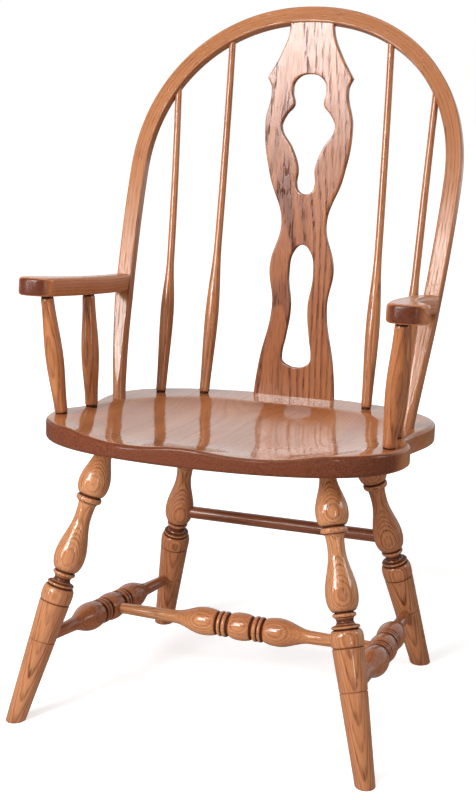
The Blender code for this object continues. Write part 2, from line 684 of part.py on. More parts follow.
def build_stretchers(legs, material):
    """Side stretchers between the legs, the centre one between them, and the rear rail."""
    middles = {}
    sides = {}
    for hand, side in SIDES.items():
        front = leg_spot("front", side, LEG_RAIL_DROP)
        rear = leg_spot("rear", side, LEG_RAIL_DROP + REAR_RAIL_LOWER)
        run = (rear - front).normalized()
        start = front - run * LEG_SOCKET_PAST_AXIS
        end = rear + run * LEG_SOCKET_PAST_AXIS
        tenon = LEG_TAPER_RADIUS + LEG_SOCKET_PAST_AXIS
        profile = stretcher_profile((end - start).length, tenon)
        name = f"stretcher_side_{hand}"
        sides[hand] = turned(name, profile, along(start, end), material)
        middles[hand] = (start + end) / 2
        for leg_end, tip, way in (("front", start, -run), ("rear", end, run)):
            inner = tip + way * CLEARANCE
            outer = tip - way * (tenon + LEG_TAPER_RADIUS)
            name = f"leg_socket_side_{leg_end}_{hand}"
            socket(legs[leg_end, hand], name, inner, outer, STRETCHER_TENON_RADIUS)

    reach = STRETCHER_BEAD_RADIUS - CENTRE_TENON_LENGTH
    run = (middles["left"] - middles["right"]).normalized()
    start = middles["right"] + run * reach
    end = middles["left"] - run * reach
    profile = stretcher_profile((end - start).length, CENTRE_TENON_LENGTH)
    turned("stretcher_centre", profile, along(start, end), material)
    for hand, tip, way in (("right", start, -run), ("left", end, run)):
        inner = tip + way * CLEARANCE
        outer = tip - way * (CENTRE_TENON_LENGTH + STRETCHER_BEAD_RADIUS)
        socket(sides[hand], f"side_socket_{hand}", inner, outer, STRETCHER_TENON_RADIUS)

    left = leg_spot("rear", 1.0, LEG_REAR_RAIL_DROP)
    right = leg_spot("rear", -1.0, LEG_REAR_RAIL_DROP)
    run = (left - right).normalized()
    tenon = LEG_VASE_RADIUS
    length = (left - right).length
    profile = [
        (length, REAR_RAIL_TENON_RADIUS), (length - tenon, REAR_RAIL_TENON_RADIUS),
        (length - tenon - REAR_RAIL_TAPER, REAR_RAIL_RADIUS),
        (tenon + REAR_RAIL_TAPER, REAR_RAIL_RADIUS),
        (tenon, REAR_RAIL_TENON_RADIUS), (0.0, REAR_RAIL_TENON_RADIUS),
    ]
    turned("stretcher_rear", profile, along(right, left), material)
    for hand, tip, way in (("right", right, -run), ("left", left, run)):
        inner = tip + way * CLEARANCE
        outer = tip - way * (tenon + LEG_VASE_RADIUS)
        name = f"leg_socket_rear_rail_{hand}"
        socket(legs["rear", hand], name, inner, outer, REAR_RAIL_TENON_RADIUS)


def splat_loops(length):
    """The fiddle outline and its two piercings, in board coordinates."""
    head = length + SPLAT_HEAD_TENON
    right_side = [
        (SPLAT_FOOT_HALF, -SPLAT_FOOT_TENON, True), (SPLAT_FOOT_HALF, 0.0, False),
        *[(x, h, False) for h, x in (
            SPLAT_FOOT_FLARE, SPLAT_LOWER_WAIST, SPLAT_LOWER_LOBE, SPLAT_WAIST,
            SPLAT_SHOULDER_SLOPE, SPLAT_SHOULDER, SPLAT_NOTCH)],
        (SPLAT_EAR[1], SPLAT_EAR[0], True),
        (SPLAT_NECK[1], SPLAT_NECK[0], False),
        (SPLAT_HEAD_HALF, length - SPLAT_HEAD_STRAIGHT, False),
        (SPLAT_HEAD_HALF, head, True),
    ]
    upper_hole = [(0.0, UPPER_HOLE_BOTTOM, False)]
    upper_hole += [(x, h, False) for h, x in (
        UPPER_HOLE_TAIL, UPPER_HOLE_STEM, UPPER_HOLE_FALL, UPPER_HOLE_LOBE,
        UPPER_HOLE_CHEEK, UPPER_HOLE_NECK, UPPER_HOLE_ARCH)]
    upper_hole += [(0.0, UPPER_HOLE_TOP, False)]
    lower_hole = [(0.0, LOWER_HOLE_BOTTOM, False)]
    lower_hole += [(x, h, False) for h, x in (LOWER_HOLE_FLARE, LOWER_HOLE_WAIST, LOWER_HOLE_LOBE)]
    lower_hole += [(0.0, LOWER_HOLE_TOP, False)]
    return [mirror_loop(right_side), mirror_loop(upper_hole), mirror_loop(lower_hole)]


def build_splat(seat, bow, material):
    """The pierced board, bent back a little, housed in the seat and in the bow."""
    foot = seat_point(0.0, SPLAT_FOOT_Y)
    crown = BOW_SPRING + BOW_ARCH_RISE - BOW_WIDTH / 2
    head = BOW_FRAME @ Vector((0.0, crown, 0.0))
    length = (head - foot).length
    board = frame(foot, head - foot)
    mesh = outline_mesh("splat", splat_loops(length), SPLAT_THICKNESS, 0.0, SPLAT_CURVE_STEPS)
    for vert in mesh.vertices:
        vert.co.z -= SPLAT_BEND * bend_share(vert.co.y / length)
    place("splat", mesh, board, material)
    tilt = 4.0 * SPLAT_BEND / length
    thick = SPLAT_THICKNESS + 2 * CLEARANCE
    for owner, spot, half, depth, way in (
        (seat, 0.0, SPLAT_FOOT_HALF, SPLAT_FOOT_TENON, -1.0),
        (bow, length, SPLAT_HEAD_HALF, SPLAT_HEAD_TENON, 1.0),
    ):
        lean = Matrix.Rotation(way * math.atan(tilt), 4, "X")
        size = (2 * (half + CLEARANCE), 2 * (depth + CLEARANCE), thick)
        at = board @ Matrix.Translation((0.0, spot, 0.0)) @ lean
        cut(owner, box_cutter(f"{owner.name}_housing_splat", size, at))


def build_spindles(seat, bow, material):
    """Two bent spindles on each side of the splat, from the seat into the bow."""
    kinds = {
        "inner": (INNER_SPINDLE_FOOT, INNER_SPINDLE_HEAD_X, INNER_SPINDLE_BEND),
        "outer": (OUTER_SPINDLE_FOOT, BOW_HALF_WIDTH - OUTER_SPINDLE_HEAD_INSET,
                  OUTER_SPINDLE_BEND),
    }
    for kind, (plan, head_x, bend) in kinds.items():
        for hand, side in SIDES.items():
            foot = seat_point(plan[0] * side, plan[1])
            arch = BOW_SPRING + bow_arch_height(head_x)
            head = BOW_FRAME @ Vector((head_x * side, arch, SPINDLE_HEAD_FORWARD))
            bow_out = Vector((bend[0] * side, bend[1], 0.0))
            build_spindle(f"spindle_{kind}_{hand}", foot, head, bow_out, seat, bow, material)


def spindle_radius(share):
    """Radius along a spindle, from its foot at 0 to its head at 1."""
    stations = [(0.0, SPINDLE_FOOT_RADIUS), (SPINDLE_SWELL, SPINDLE_SWELL_RADIUS),
                (SPINDLE_NECK, SPINDLE_NECK_RADIUS), (1.0, SPINDLE_HEAD_RADIUS)]
    if share <= 0.0:
        return SPINDLE_FOOT_RADIUS
    for (a, ra), (b, rb) in zip(stations[:-1], stations[1:]):
        if share <= b:
            t = (share - a) / (b - a)
            return ra + (rb - ra) * (0.5 - 0.5 * math.cos(math.pi * t))
    return SPINDLE_HEAD_RADIUS


def build_spindle(name, foot, head, bow_out, seat, bow, material):
    """A tube of changing radius on a gently bent line, with a socket at each end."""
    length = (head - foot).length

    def spot(share):
        return foot.lerp(head, share) + bow_out * bend_share(share)

    first = -SPINDLE_FOOT_TENON / length
    shares = [first + (1.0 - first) * k / (SPINDLE_POINTS - 1) for k in range(SPINDLE_POINTS)]
    data = bpy.data.curves.new(name, "CURVE")
    data.dimensions = "3D"
    data.bevel_depth = 1.0
    data.bevel_resolution = SPINDLE_FACETS
    data.use_fill_caps = True
    spline = data.splines.new("POLY")
    spline.points.add(len(shares) - 1)
    for point, share in zip(spline.points, shares):
        point.co = (*spot(share), 1.0)
        point.radius = spindle_radius(share)
    mesh = curve_to_mesh(name, data)
    mesh.shade_smooth()
    place(name, mesh, Matrix.Identity(4), material)
    low = spot(first - CLEARANCE / length)
    high = spot(-first)
    socket(seat, f"seat_socket_{name}", low, high, SPINDLE_FOOT_RADIUS)
    tip = spot(1.0 + CLEARANCE / length)
    below = spot(1.0 - SPINDLE_HEAD_SOCKET / length)
    socket(bow, f"bow_socket_{name}", below, tip, SPINDLE_HEAD_RADIUS)


def arm_loop(side, rear_x, rear_y):
    """Plan of one arm, front paddle to rear block."""
    def by(post, offset):
        return (post[0] + offset[0], post[1] + offset[1], False)

    points = [
        (rear_x - ARM_REAR_INNER, rear_y, True), (rear_x + ARM_REAR_OUTER, rear_y, True),
        by(REAR_POST_HEAD, ARM_WAIST_OUTER), by(REAR_POST_HEAD, ARM_SWEEP_OUT),
        by(FRONT_POST_HEAD, ARM_PADDLE_SIDE), by(FRONT_POST_HEAD, ARM_PADDLE_OUTER),
        by(FRONT_POST_HEAD, ARM_PADDLE_TIP), by(FRONT_POST_HEAD, ARM_PADDLE_INNER),
        by(FRONT_POST_HEAD, ARM_INNER), by(REAR_POST_HEAD, ARM_WAIST_INNER),
    ]
    return [(x * side, y, c) for x, y, c in points]


def build_arms(bow, material):
    """Two arms, cut to the slope of the bow and tenoned into its front."""
    tilt = Matrix.Rotation(-math.atan(ARM_FALL), 4, "X")
    lift = Matrix.Translation((0.0, 0.0, ARM_THICKNESS / 2))
    board = Matrix.Translation(arm_point(0.0, 0.0)) @ tilt @ lift
    front = BOW_DEPTH / 2
    middle = board.translation
    fall = (board.to_3x3() @ Vector((0.0, 1.0, 0.0)))
    across = BOW_FRAME.to_3x3() @ Vector((0.0, 0.0, 1.0))
    reach = (BOW_FRAME.translation - middle).dot(across) / fall.dot(across)
    height = (BOW_FRAME.inverted() @ (middle + fall * reach)).y
    arms = {}
    for hand, side in SIDES.items():
        limb_x = bow_limb_x(height)
        loop = arm_loop(side, limb_x, reach + ARM_RUN_PAST)
        mesh = outline_mesh(f"arm_{hand}", [loop], ARM_THICKNESS, ARM_EDGE_RADIUS,
                            ARM_CURVE_STEPS)
        arm = place(f"arm_{hand}", mesh, board, material)
        deep = BOW_DEPTH + 2 * ARM_RUN_PAST
        size = (2 * (BOW_HALF_WIDTH + ARM_THICKNESS), 4 * ARM_THICKNESS, deep)
        behind = front + CLEARANCE - deep / 2
        at = BOW_FRAME @ Matrix.Translation((0.0, height, behind))
        cut(arm, box_cutter(f"arm_end_{hand}", size, at))
        root = BOW_FRAME @ Vector((limb_x * side, height, front + ARM_TENON_ROOT))
        tip = BOW_FRAME @ Vector((limb_x * side, height, front - ARM_TENON_LENGTH))
        length = (tip - root).length
        peg = [(length, ARM_TENON_RADIUS), (0.0, ARM_TENON_RADIUS)]
        cut(arm, turned(f"arm_tenon_{hand}", peg, along(root, tip)), "UNION")
        run = (tip - root).normalized()
        socket(bow, f"bow_socket_arm_{hand}", root, tip + run * CLEARANCE, ARM_TENON_RADIUS)
        arms[hand] = arm
    return arms


def build_posts(seat, arms, material):
    """Two turned posts under each arm."""
    kinds = {
        "front": (FRONT_POST_FOOT, FRONT_POST_HEAD),
        "rear": (REAR_POST_FOOT, REAR_POST_HEAD),
    }
    for kind, (foot_plan, head_plan) in kinds.items():
        for hand, side in SIDES.items():
            foot = seat_point(foot_plan[0] * side, foot_plan[1])
            head = arm_point(head_plan[0] * side, head_plan[1])
            run = (head - foot).normalized()
            length = (head - foot).length
            start = foot - run * POST_FOOT_TENON
            swell = (length * POST_SWELL, POST_SWELL_RADIUS)
            crown = (length, POST_HEAD_RADIUS)
            base = (0.0, POST_FOOT_RADIUS)
            points = [(length + POST_HEAD_TENON, POST_HEAD_RADIUS), crown]
            points += list(reversed(curve_between(swell, crown, EASE_STEPS, "ease")[:-1]))
            points += [swell]
            points += curve_between(swell, base, EASE_STEPS, "ease")
            points += [(-POST_FOOT_TENON, POST_FOOT_RADIUS)]
            profile = [(POST_FOOT_TENON + h, r) for h, r in points]
            name = f"arm_post_{kind}_{hand}"
            end = head + run * POST_HEAD_TENON
            turned(name, profile, along(start, end), material)
            low = start - run * CLEARANCE
            socket(seat, f"seat_socket_{name}", low, foot + run * POST_FOOT_TENON, POST_FOOT_RADIUS)
            high = end + run * CLEARANCE
            socket(arms[hand], f"arm_socket_{name}", head - run * POST_HEAD_TENON, high,
                   POST_HEAD_RADIUS)


clear_scene()
PARTS = new_collection(CHAIR)
CUTTERS = new_collection("cutters")
CHAIR_ROOT = bpy.data.objects.new(CHAIR, None)
PARTS.objects.link(CHAIR_ROOT)

plank = build_seat(lacquered_oak("oak_seat", SEAT_SHADE))
hoop = build_bow(lacquered_oak("oak_bow", BOW_SHADE))
turned_legs = build_legs(plank, lacquered_oak("oak_legs", LEG_SHADE))
build_stretchers(turned_legs, lacquered_oak("oak_stretchers", STRETCHER_SHADE))
build_splat(plank, hoop, lacquered_oak("oak_splat", SPLAT_SHADE))
build_spindles(plank, hoop, lacquered_oak("oak_spindles", SPINDLE_SHADE))
side_arms = build_arms(hoop, lacquered_oak("oak_arms", ARM_SHADE))
build_posts(plank, side_arms, lacquered_oak("oak_posts", POST_SHADE))

# The bow's foot tenons are housed in the seat along the run of its limbs
for bow_hand, bow_side in SIDES.items():
    foot_local, tip_local = [bow_spot(p) for p in bow_path()[-2:]]
    tenon_run = tip_local - foot_local
    out_of_square = abs(tenon_run.z) / tenon_run.xy.length
    deeper = CLEARANCE + BOW_FOOT_RADIUS * out_of_square
    tip_spot = BOW_FRAME @ mirrored(tip_local, bow_side)
    foot_spot = BOW_FRAME @ mirrored(foot_local, bow_side)
    limb_run = (tip_spot - foot_spot).normalized()
    socket(plank, f"seat_socket_bow_{bow_hand}", tip_spot + limb_run * deeper,
           foot_spot - limb_run * BOW_TENON_LENGTH, BOW_FOOT_RADIUS)
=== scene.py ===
"""The fiddleback armchair as it looks: turned, bent and sawn oak under a gloss lacquer.

Every piece is a surface worked out from the same sizes as the solid it stands for. Metres, +Z up,
front towards -Y, the sitter's left at +X.
"""
import math

import bpy
import numpy as np
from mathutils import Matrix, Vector


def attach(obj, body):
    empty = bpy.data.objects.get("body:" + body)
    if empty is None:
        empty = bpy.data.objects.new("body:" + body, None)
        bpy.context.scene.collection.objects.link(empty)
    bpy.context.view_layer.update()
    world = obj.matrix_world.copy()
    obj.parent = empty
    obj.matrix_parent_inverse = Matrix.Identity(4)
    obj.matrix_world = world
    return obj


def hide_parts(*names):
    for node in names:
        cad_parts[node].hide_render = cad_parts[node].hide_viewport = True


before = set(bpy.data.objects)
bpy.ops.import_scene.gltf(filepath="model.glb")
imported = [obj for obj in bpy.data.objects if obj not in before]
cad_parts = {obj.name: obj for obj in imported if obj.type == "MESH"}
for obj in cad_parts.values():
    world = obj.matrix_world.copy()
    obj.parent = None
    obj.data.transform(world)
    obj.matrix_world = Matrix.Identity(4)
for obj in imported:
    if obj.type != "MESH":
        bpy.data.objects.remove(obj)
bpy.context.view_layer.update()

# Camera
# Where the picture was taken from: to the sitter's left of straight ahead and level with the top
# of the bow, looking down a little through a long lens, so that the legs splay as they do there.
eye_place = (0.856, -2.1605, 1.0475)
eye_down, eye_turn = 14.10, 22.16
eye = bpy.data.cameras.new("picture_eye")
eye.lens = 70.02
eye.sensor_width = 36.0
eye_stand = bpy.data.objects.new("picture_eye", eye)
eye_stand.location = eye_place
eye_stand.rotation_euler = (math.radians(90.0 - eye_down), 0.0, math.radians(eye_turn))
bpy.context.scene.collection.objects.link(eye_stand)
bpy.context.scene.camera = eye_stand
bpy.context.scene.view_settings.view_transform = "Standard"

# Floor and light
# A white studio: a pale floor that keeps the chair's shadow, a white room, and soft lamps. The
# splat mirrors the key box and its core, the bow's limbs the limb boxes, the turnings the strips.
# The room and the floor as they light the chair, as they are seen and as they are mirrored
room_light = 0.16
room_mirrored = (0.06, 0.92)
room_turn = (0.10, 0.60)
floor_white = 0.80
floor_white_mirrored = 0.25
floor_glow = (0.62, 1.0)
floor_fade = (0.55, 1.50)
floor_mirrored = (0.03, 1.25)
floor_mirrored_fade = (3.0, 9.0)
floor_dull = 0.9
floor_reach = 12.0
# Each lamp: the spot it looks at, its turn to the sitter's left and its rise from there in
# degrees, its distance, its size and its radiance
lamps = {
    "key_box": ((-0.875, 0.10, 0.87), -9.0, 20.0, 2.9, (1.15, 1.11), 15.6),
    "key_core": ((-0.75, 0.10, 0.90), -7.1, 15.0, 2.93, (0.80, 0.60), 14.0),
    "limb_left": ((-0.26, 0.09, 0.62), -31.0, 33.5, 3.2, (0.50, 0.30), 7.0),
    "limb_right": ((0.26, 0.09, 0.62), -18.0, 37.0, 3.2, (0.50, 0.19), 30.0),
    "strip_front": ((0.0, 0.0, 0.30), -3.0, 42.0, 4.0, (0.30, 1.10), 11.0),
    "strip_left": ((0.0, 0.0, 0.40), -40.0, 13.0, 3.2, (0.22, 1.20), 15.0),
    "strip_right": ((0.0, 0.0, 0.40), 44.0, 14.0, 3.2, (0.20, 1.10), 11.0),
    "side_box": ((0.0, 0.0, 0.40), 100.0, 28.0, 3.0, (0.90, 1.10), 6.0),
    "top_box": ((0.0, 0.0, 0.44), 0.0, 82.0, 2.2, (1.30, 1.30), 2.5),
}


def wire(tree, kind, inputs, **settings):
    """Add a node, set its choices, and join each input to a socket or give it a plain value."""
    made = tree.nodes.new(kind)
    for key, value in settings.items():
        setattr(made, key, value)
    for spot, value in inputs.items():
        if isinstance(value, bpy.types.NodeSocket):
            tree.links.new(value, made.inputs[spot])
        else:
            made.inputs[spot].default_value = value
    return made


def sum_of(tree, operation, *inputs):
    """A Math node's result."""
    return wire(tree, "ShaderNodeMath", dict(enumerate(inputs)), operation=operation).outputs[0]


def ranged(tree, value, low, high, to_low=0.0, to_high=1.0):
    """A value carried smoothly from one range to another, and held at its ends."""
    return wire(tree, "ShaderNodeMapRange",
                {"Value": value, "From Min": low, "From Max": high,
                 "To Min": to_low, "To Max": to_high},
                interpolation_type="SMOOTHSTEP").outputs["Result"]


def mixed(tree, share, first, second):
    """A value that goes from the first to the second as the share goes from 0 to 1."""
    return wire(tree, "ShaderNodeMix", {0: share, 2: first, 3: second}).outputs[0]


def length_of(tree, vector):
    """A vector's length."""
    return wire(tree, "ShaderNodeVectorMath", {0: vector}, operation="LENGTH").outputs["Value"]


def sight(tree):
    """Two switches: 1 on the way from the eye, and 1 on the way from a mirroring surface."""
    path = tree.nodes.new("ShaderNodeLightPath").outputs
    mirrored = sum_of(tree, "MAXIMUM", path["Is Glossy Ray"], path["Is Transmission Ray"])
    return path["Is Camera Ray"], mirrored


room = bpy.data.worlds.new("white_room")
room.use_nodes = True
room_tree = room.node_tree
room_way = wire(room_tree, "ShaderNodeSeparateXYZ",
                {0: room_tree.nodes.new("ShaderNodeTexCoord").outputs["Generated"]})
room_behind = ranged(room_tree, room_way.outputs["Y"], *room_turn, *room_mirrored)
room_seen, room_in_gloss = sight(room_tree)
room_strength = sum_of(room_tree, "MULTIPLY_ADD", room_seen, 1.0 - room_light, room_light)
room_strength = mixed(room_tree, room_in_gloss, room_strength, room_behind)
room_tree.nodes["Background"].inputs["Color"].default_value = (1.0, 1.0, 1.0, 1.0)
room_tree.links.new(room_strength, room_tree.nodes["Background"].inputs["Strength"])
bpy.context.scene.world = room

for lamp_name, (aim, turn, rise, away, size, radiance) in lamps.items():
    lamp = bpy.data.lights.new(lamp_name, "AREA")
    lamp.shape = "RECTANGLE"
    lamp.size, lamp.size_y = size
    lamp.energy = radiance * math.pi * size[0] * size[1]
    turn, rise = math.radians(turn), math.radians(rise)
    way = Vector((math.sin(turn) * math.cos(rise), -math.cos(turn) * math.cos(rise),
                  math.sin(rise)))
    stand = bpy.data.objects.new(lamp_name, lamp)
    stand.location = Vector(aim) + way * away
    stand.rotation_euler = (-way).to_track_quat("-Z", "Y").to_euler()
    stand.visible_camera = False
    bpy.context.scene.collection.objects.link(stand)

floor_paint = bpy.data.materials.new("pale_floor")
floor_paint.use_nodes = True
floor_tree = floor_paint.node_tree
floor_shader = floor_tree.nodes["Principled BSDF"]
floor_shader.inputs["Roughness"].default_value = floor_dull
floor_shader.inputs["Specular IOR Level"].default_value = 0.0
floor_shader.inputs["Emission Color"].default_value = (1.0, 1.0, 1.0, 1.0)
floor_spot = floor_tree.nodes.new("ShaderNodeTexCoord").outputs["Object"]
floor_far = length_of(floor_tree, floor_spot)
floor_seen, floor_in_gloss = sight(floor_tree)
floor_tone = mixed(floor_tree, floor_in_gloss, floor_white, floor_white_mirrored)
floor_tree.links.new(floor_tone, floor_shader.inputs["Base Color"])
floor_to_eye = sum_of(floor_tree, "MULTIPLY", floor_seen,
                      ranged(floor_tree, floor_far, *floor_fade, *floor_glow))
floor_to_gloss = sum_of(floor_tree, "MULTIPLY", floor_in_gloss,
                        ranged(floor_tree, floor_far, *floor_mirrored_fade, *floor_mirrored))
floor_tree.links.new(sum_of(floor_tree, "ADD", floor_to_eye, floor_to_gloss),
                     floor_shader.inputs["Emission Strength"])
floor_mesh = bpy.data.meshes.new("studio_floor")
floor_mesh.from_pydata(
    [(-floor_reach, -floor_reach, 0.0), (floor_reach, -floor_reach, 0.0),
     (floor_reach, floor_reach, 0.0), (-floor_reach, floor_reach, 0.0)], [], [(0, 1, 2, 3)])
floor_mesh.materials.append(floor_paint)
studio_floor = bpy.data.objects.new("studio_floor", floor_mesh)
bpy.context.scene.collection.objects.link(studio_floor)

# Seat
# One thick oak plank with its grain running front to back, sawn to a wasp-waisted outline and
# hollowed for the sitter: a dish, and two thigh hollows that run out over the front edge.
seat_height = 0.440
seat_slope = 0.070
seat_thick = 0.031
seat_edge = 0.006
# Half the outline: a place, the way through it, and the reach of the curve before and after it
seat_half_outline = [
    ((0.0, -0.2685), (1.0, 0.0), 0.170, 0.170),
    ((0.282, -0.110), (0.0, 1.0), 0.105, 0.030),
    ((0.262, -0.045), (0.0, 1.0), 0.030, 0.035),
    ((0.272, 0.052), (0.0, 1.0), 0.035, 0.105),
    ((0.0, 0.2025), (-1.0, 0.0), 0.155, 0.155),
]
seat_curve_steps = 44
seat_edge_steps = 7
seat_rings, seat_crowding = 130, 0.9
seat_under_every = 4
seat_pith = (0.03, -0.09)
seat_middle = np.array([0.0, -0.030])
# Each hollow: its middle, its half widths, its depth, how square its rim is, its bowl's power
dish = ((0.0, -0.080), (0.245, 0.190), 0.0150, 2.7, 3.6)
thighs = [((side * 0.100, -0.130), (0.086, 0.230), 0.0105, 2.6, 2.3) for side in (-1.0, 1.0)]
hollow_blend = 0.0025
rim_blend = 0.0005
scraped = 0.00005
scrape_across, scrape_along = (210.0, 3.0, 60.0), (150.0, 2.0, 75.0)
sharp_edge = math.radians(42.0)
chair_left = np.array([1.0, 0.0, 0.0])


def bezier(start, start_handle, end_handle, end, steps):
    """Cubic Bezier from start up to, not with, end: the cubic Bernstein sums of four points."""
    t = np.linspace(0.0, 1.0, steps, endpoint=False)[:, None]
    return ((1 - t) ** 3 * np.array(start) + 3 * (1 - t) ** 2 * t * np.array(start_handle)
            + 3 * (1 - t) * t ** 2 * np.array(end_handle) + t ** 3 * np.array(end))


def unit(vectors):
    """Vectors scaled to length one."""
    vectors = np.asarray(vectors, float)
    return vectors / np.linalg.norm(vectors, axis=-1, keepdims=True)


def rings_joined(rows, around):
    """Quads that join each row of a grid, closed round on itself, to the next row."""
    lower = np.arange(rows - 1)[:, None] * around
    here = np.arange(around)
    there = np.roll(here, -1)
    return np.stack([lower + here, lower + there,
                     lower + around + there, lower + around + here], axis=-1)


def rolled(points, grain, first_cap=None):
    """A grid of rows that close round on themselves, as points, places in the wood and faces.

    Quads join each row to the next. A fan to a middle point closes the last row, and the first
    one too, unless it has a cap of its own.
    """
    rows, around = points.shape[:2]
    here = np.arange(around)
    there = np.roll(here, -1)
    quads = rings_joined(rows, around).reshape(-1, 4)
    last = (rows - 1) * around
    last_fan = np.stack([last + here, last + there, np.full(around, rows * around)], axis=-1)
    capped = [-1] if first_cap else [-1, 0]
    if not first_cap:
        first_cap = np.stack([there, here, np.full(around, rows * around + 1)], axis=-1).tolist()
    flat = np.concatenate([points.reshape(-1, 3), points[capped].mean(axis=1)])
    wood = np.concatenate([grain.reshape(-1, 3), grain[capped].mean(axis=1)])
    return flat, wood, quads.tolist() + last_fan.tolist() + first_cap


def set_in_chair(node, points, grain, faces, along, oak, slot, stain_and_shade=()):
    """Put a worked-out surface into the chair in place of its plain solid.

    grain is each point's place in the log, pith at its origin and fibres along its Z; along is
    the way the fibres run in the chair. grain_end is how squarely the surface cuts the fibres.
    The last argument can raise it, from the first point on, to give a groove or joint the dark end
    grain colour: painted shade, and in the grooves stain gathered there as well.
    """
    mesh = bpy.data.meshes.new(f"{node}_oak")
    mesh.from_pydata(points.tolist(), [], faces)
    mesh.shade_smooth()
    mesh.set_sharp_from_angle(angle=sharp_edge)
    placed = mesh.attributes.new("grain", "FLOAT_VECTOR", "POINT")
    placed.data.foreach_set("vector", np.asarray(grain, np.float32).ravel())
    facing = np.empty(len(points) * 3, np.float32)
    mesh.vertex_normals.foreach_get("vector", facing)
    squarely = np.abs((facing.reshape(-1, 3) * unit(along)).sum(axis=1))
    squarely[:len(stain_and_shade)] = np.maximum(squarely[:len(stain_and_shade)], stain_and_shade)
    cut_end = mesh.attributes.new("grain_end", "FLOAT", "POINT")
    cut_end.data.foreach_set("value", squarely.astype(np.float32))
    mesh.materials.append(oak)
    piece = bpy.data.objects.new(f"{node}_oak", mesh)
    bpy.context.scene.collection.objects.link(piece)
    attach(piece, "root")
    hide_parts(node)


def vector_sum(tree, operation, *inputs):
    """A Vector Math node's result."""
    made = wire(tree, "ShaderNodeVectorMath", dict(enumerate(inputs)), operation=operation)
    return made.outputs[0]


# How oak is made: each noise by its pace across and along the fibres and by its detail, then the
# shares of a year's ring, and how dark, deep and dull its pores, fibres and cut ends are.
shake_noise = (16.0, 3.2, 2.0)
fibre_noise = (420.0, 9.0, 2.0)
fleck_noise = (34.0, 1.0)
tone_noise = (26.0, 3.0, 1.0)
mottle_noise = (380.0, 60.0, 2.0)
spring_onset, spring_fade = 0.10, (0.16, 0.62)
leanest_year = 0.35
fleck_edge = (0.52, 0.64)
pores_in_spring, pores_always = 0.80, 0.20
tone_edge = (0.30, 0.70)
fibre_edge, fibre_dark = (0.35, 0.75), 0.40
pore_tone = 0.45
mottle_edge, mottle_tones = (0.34, 0.66), (0.82, 1.20)
least_coat = 0.15
pore_strength, pore_depth = 0.40, 0.0005
wood_rough, coat_ior = 0.42, 1.5


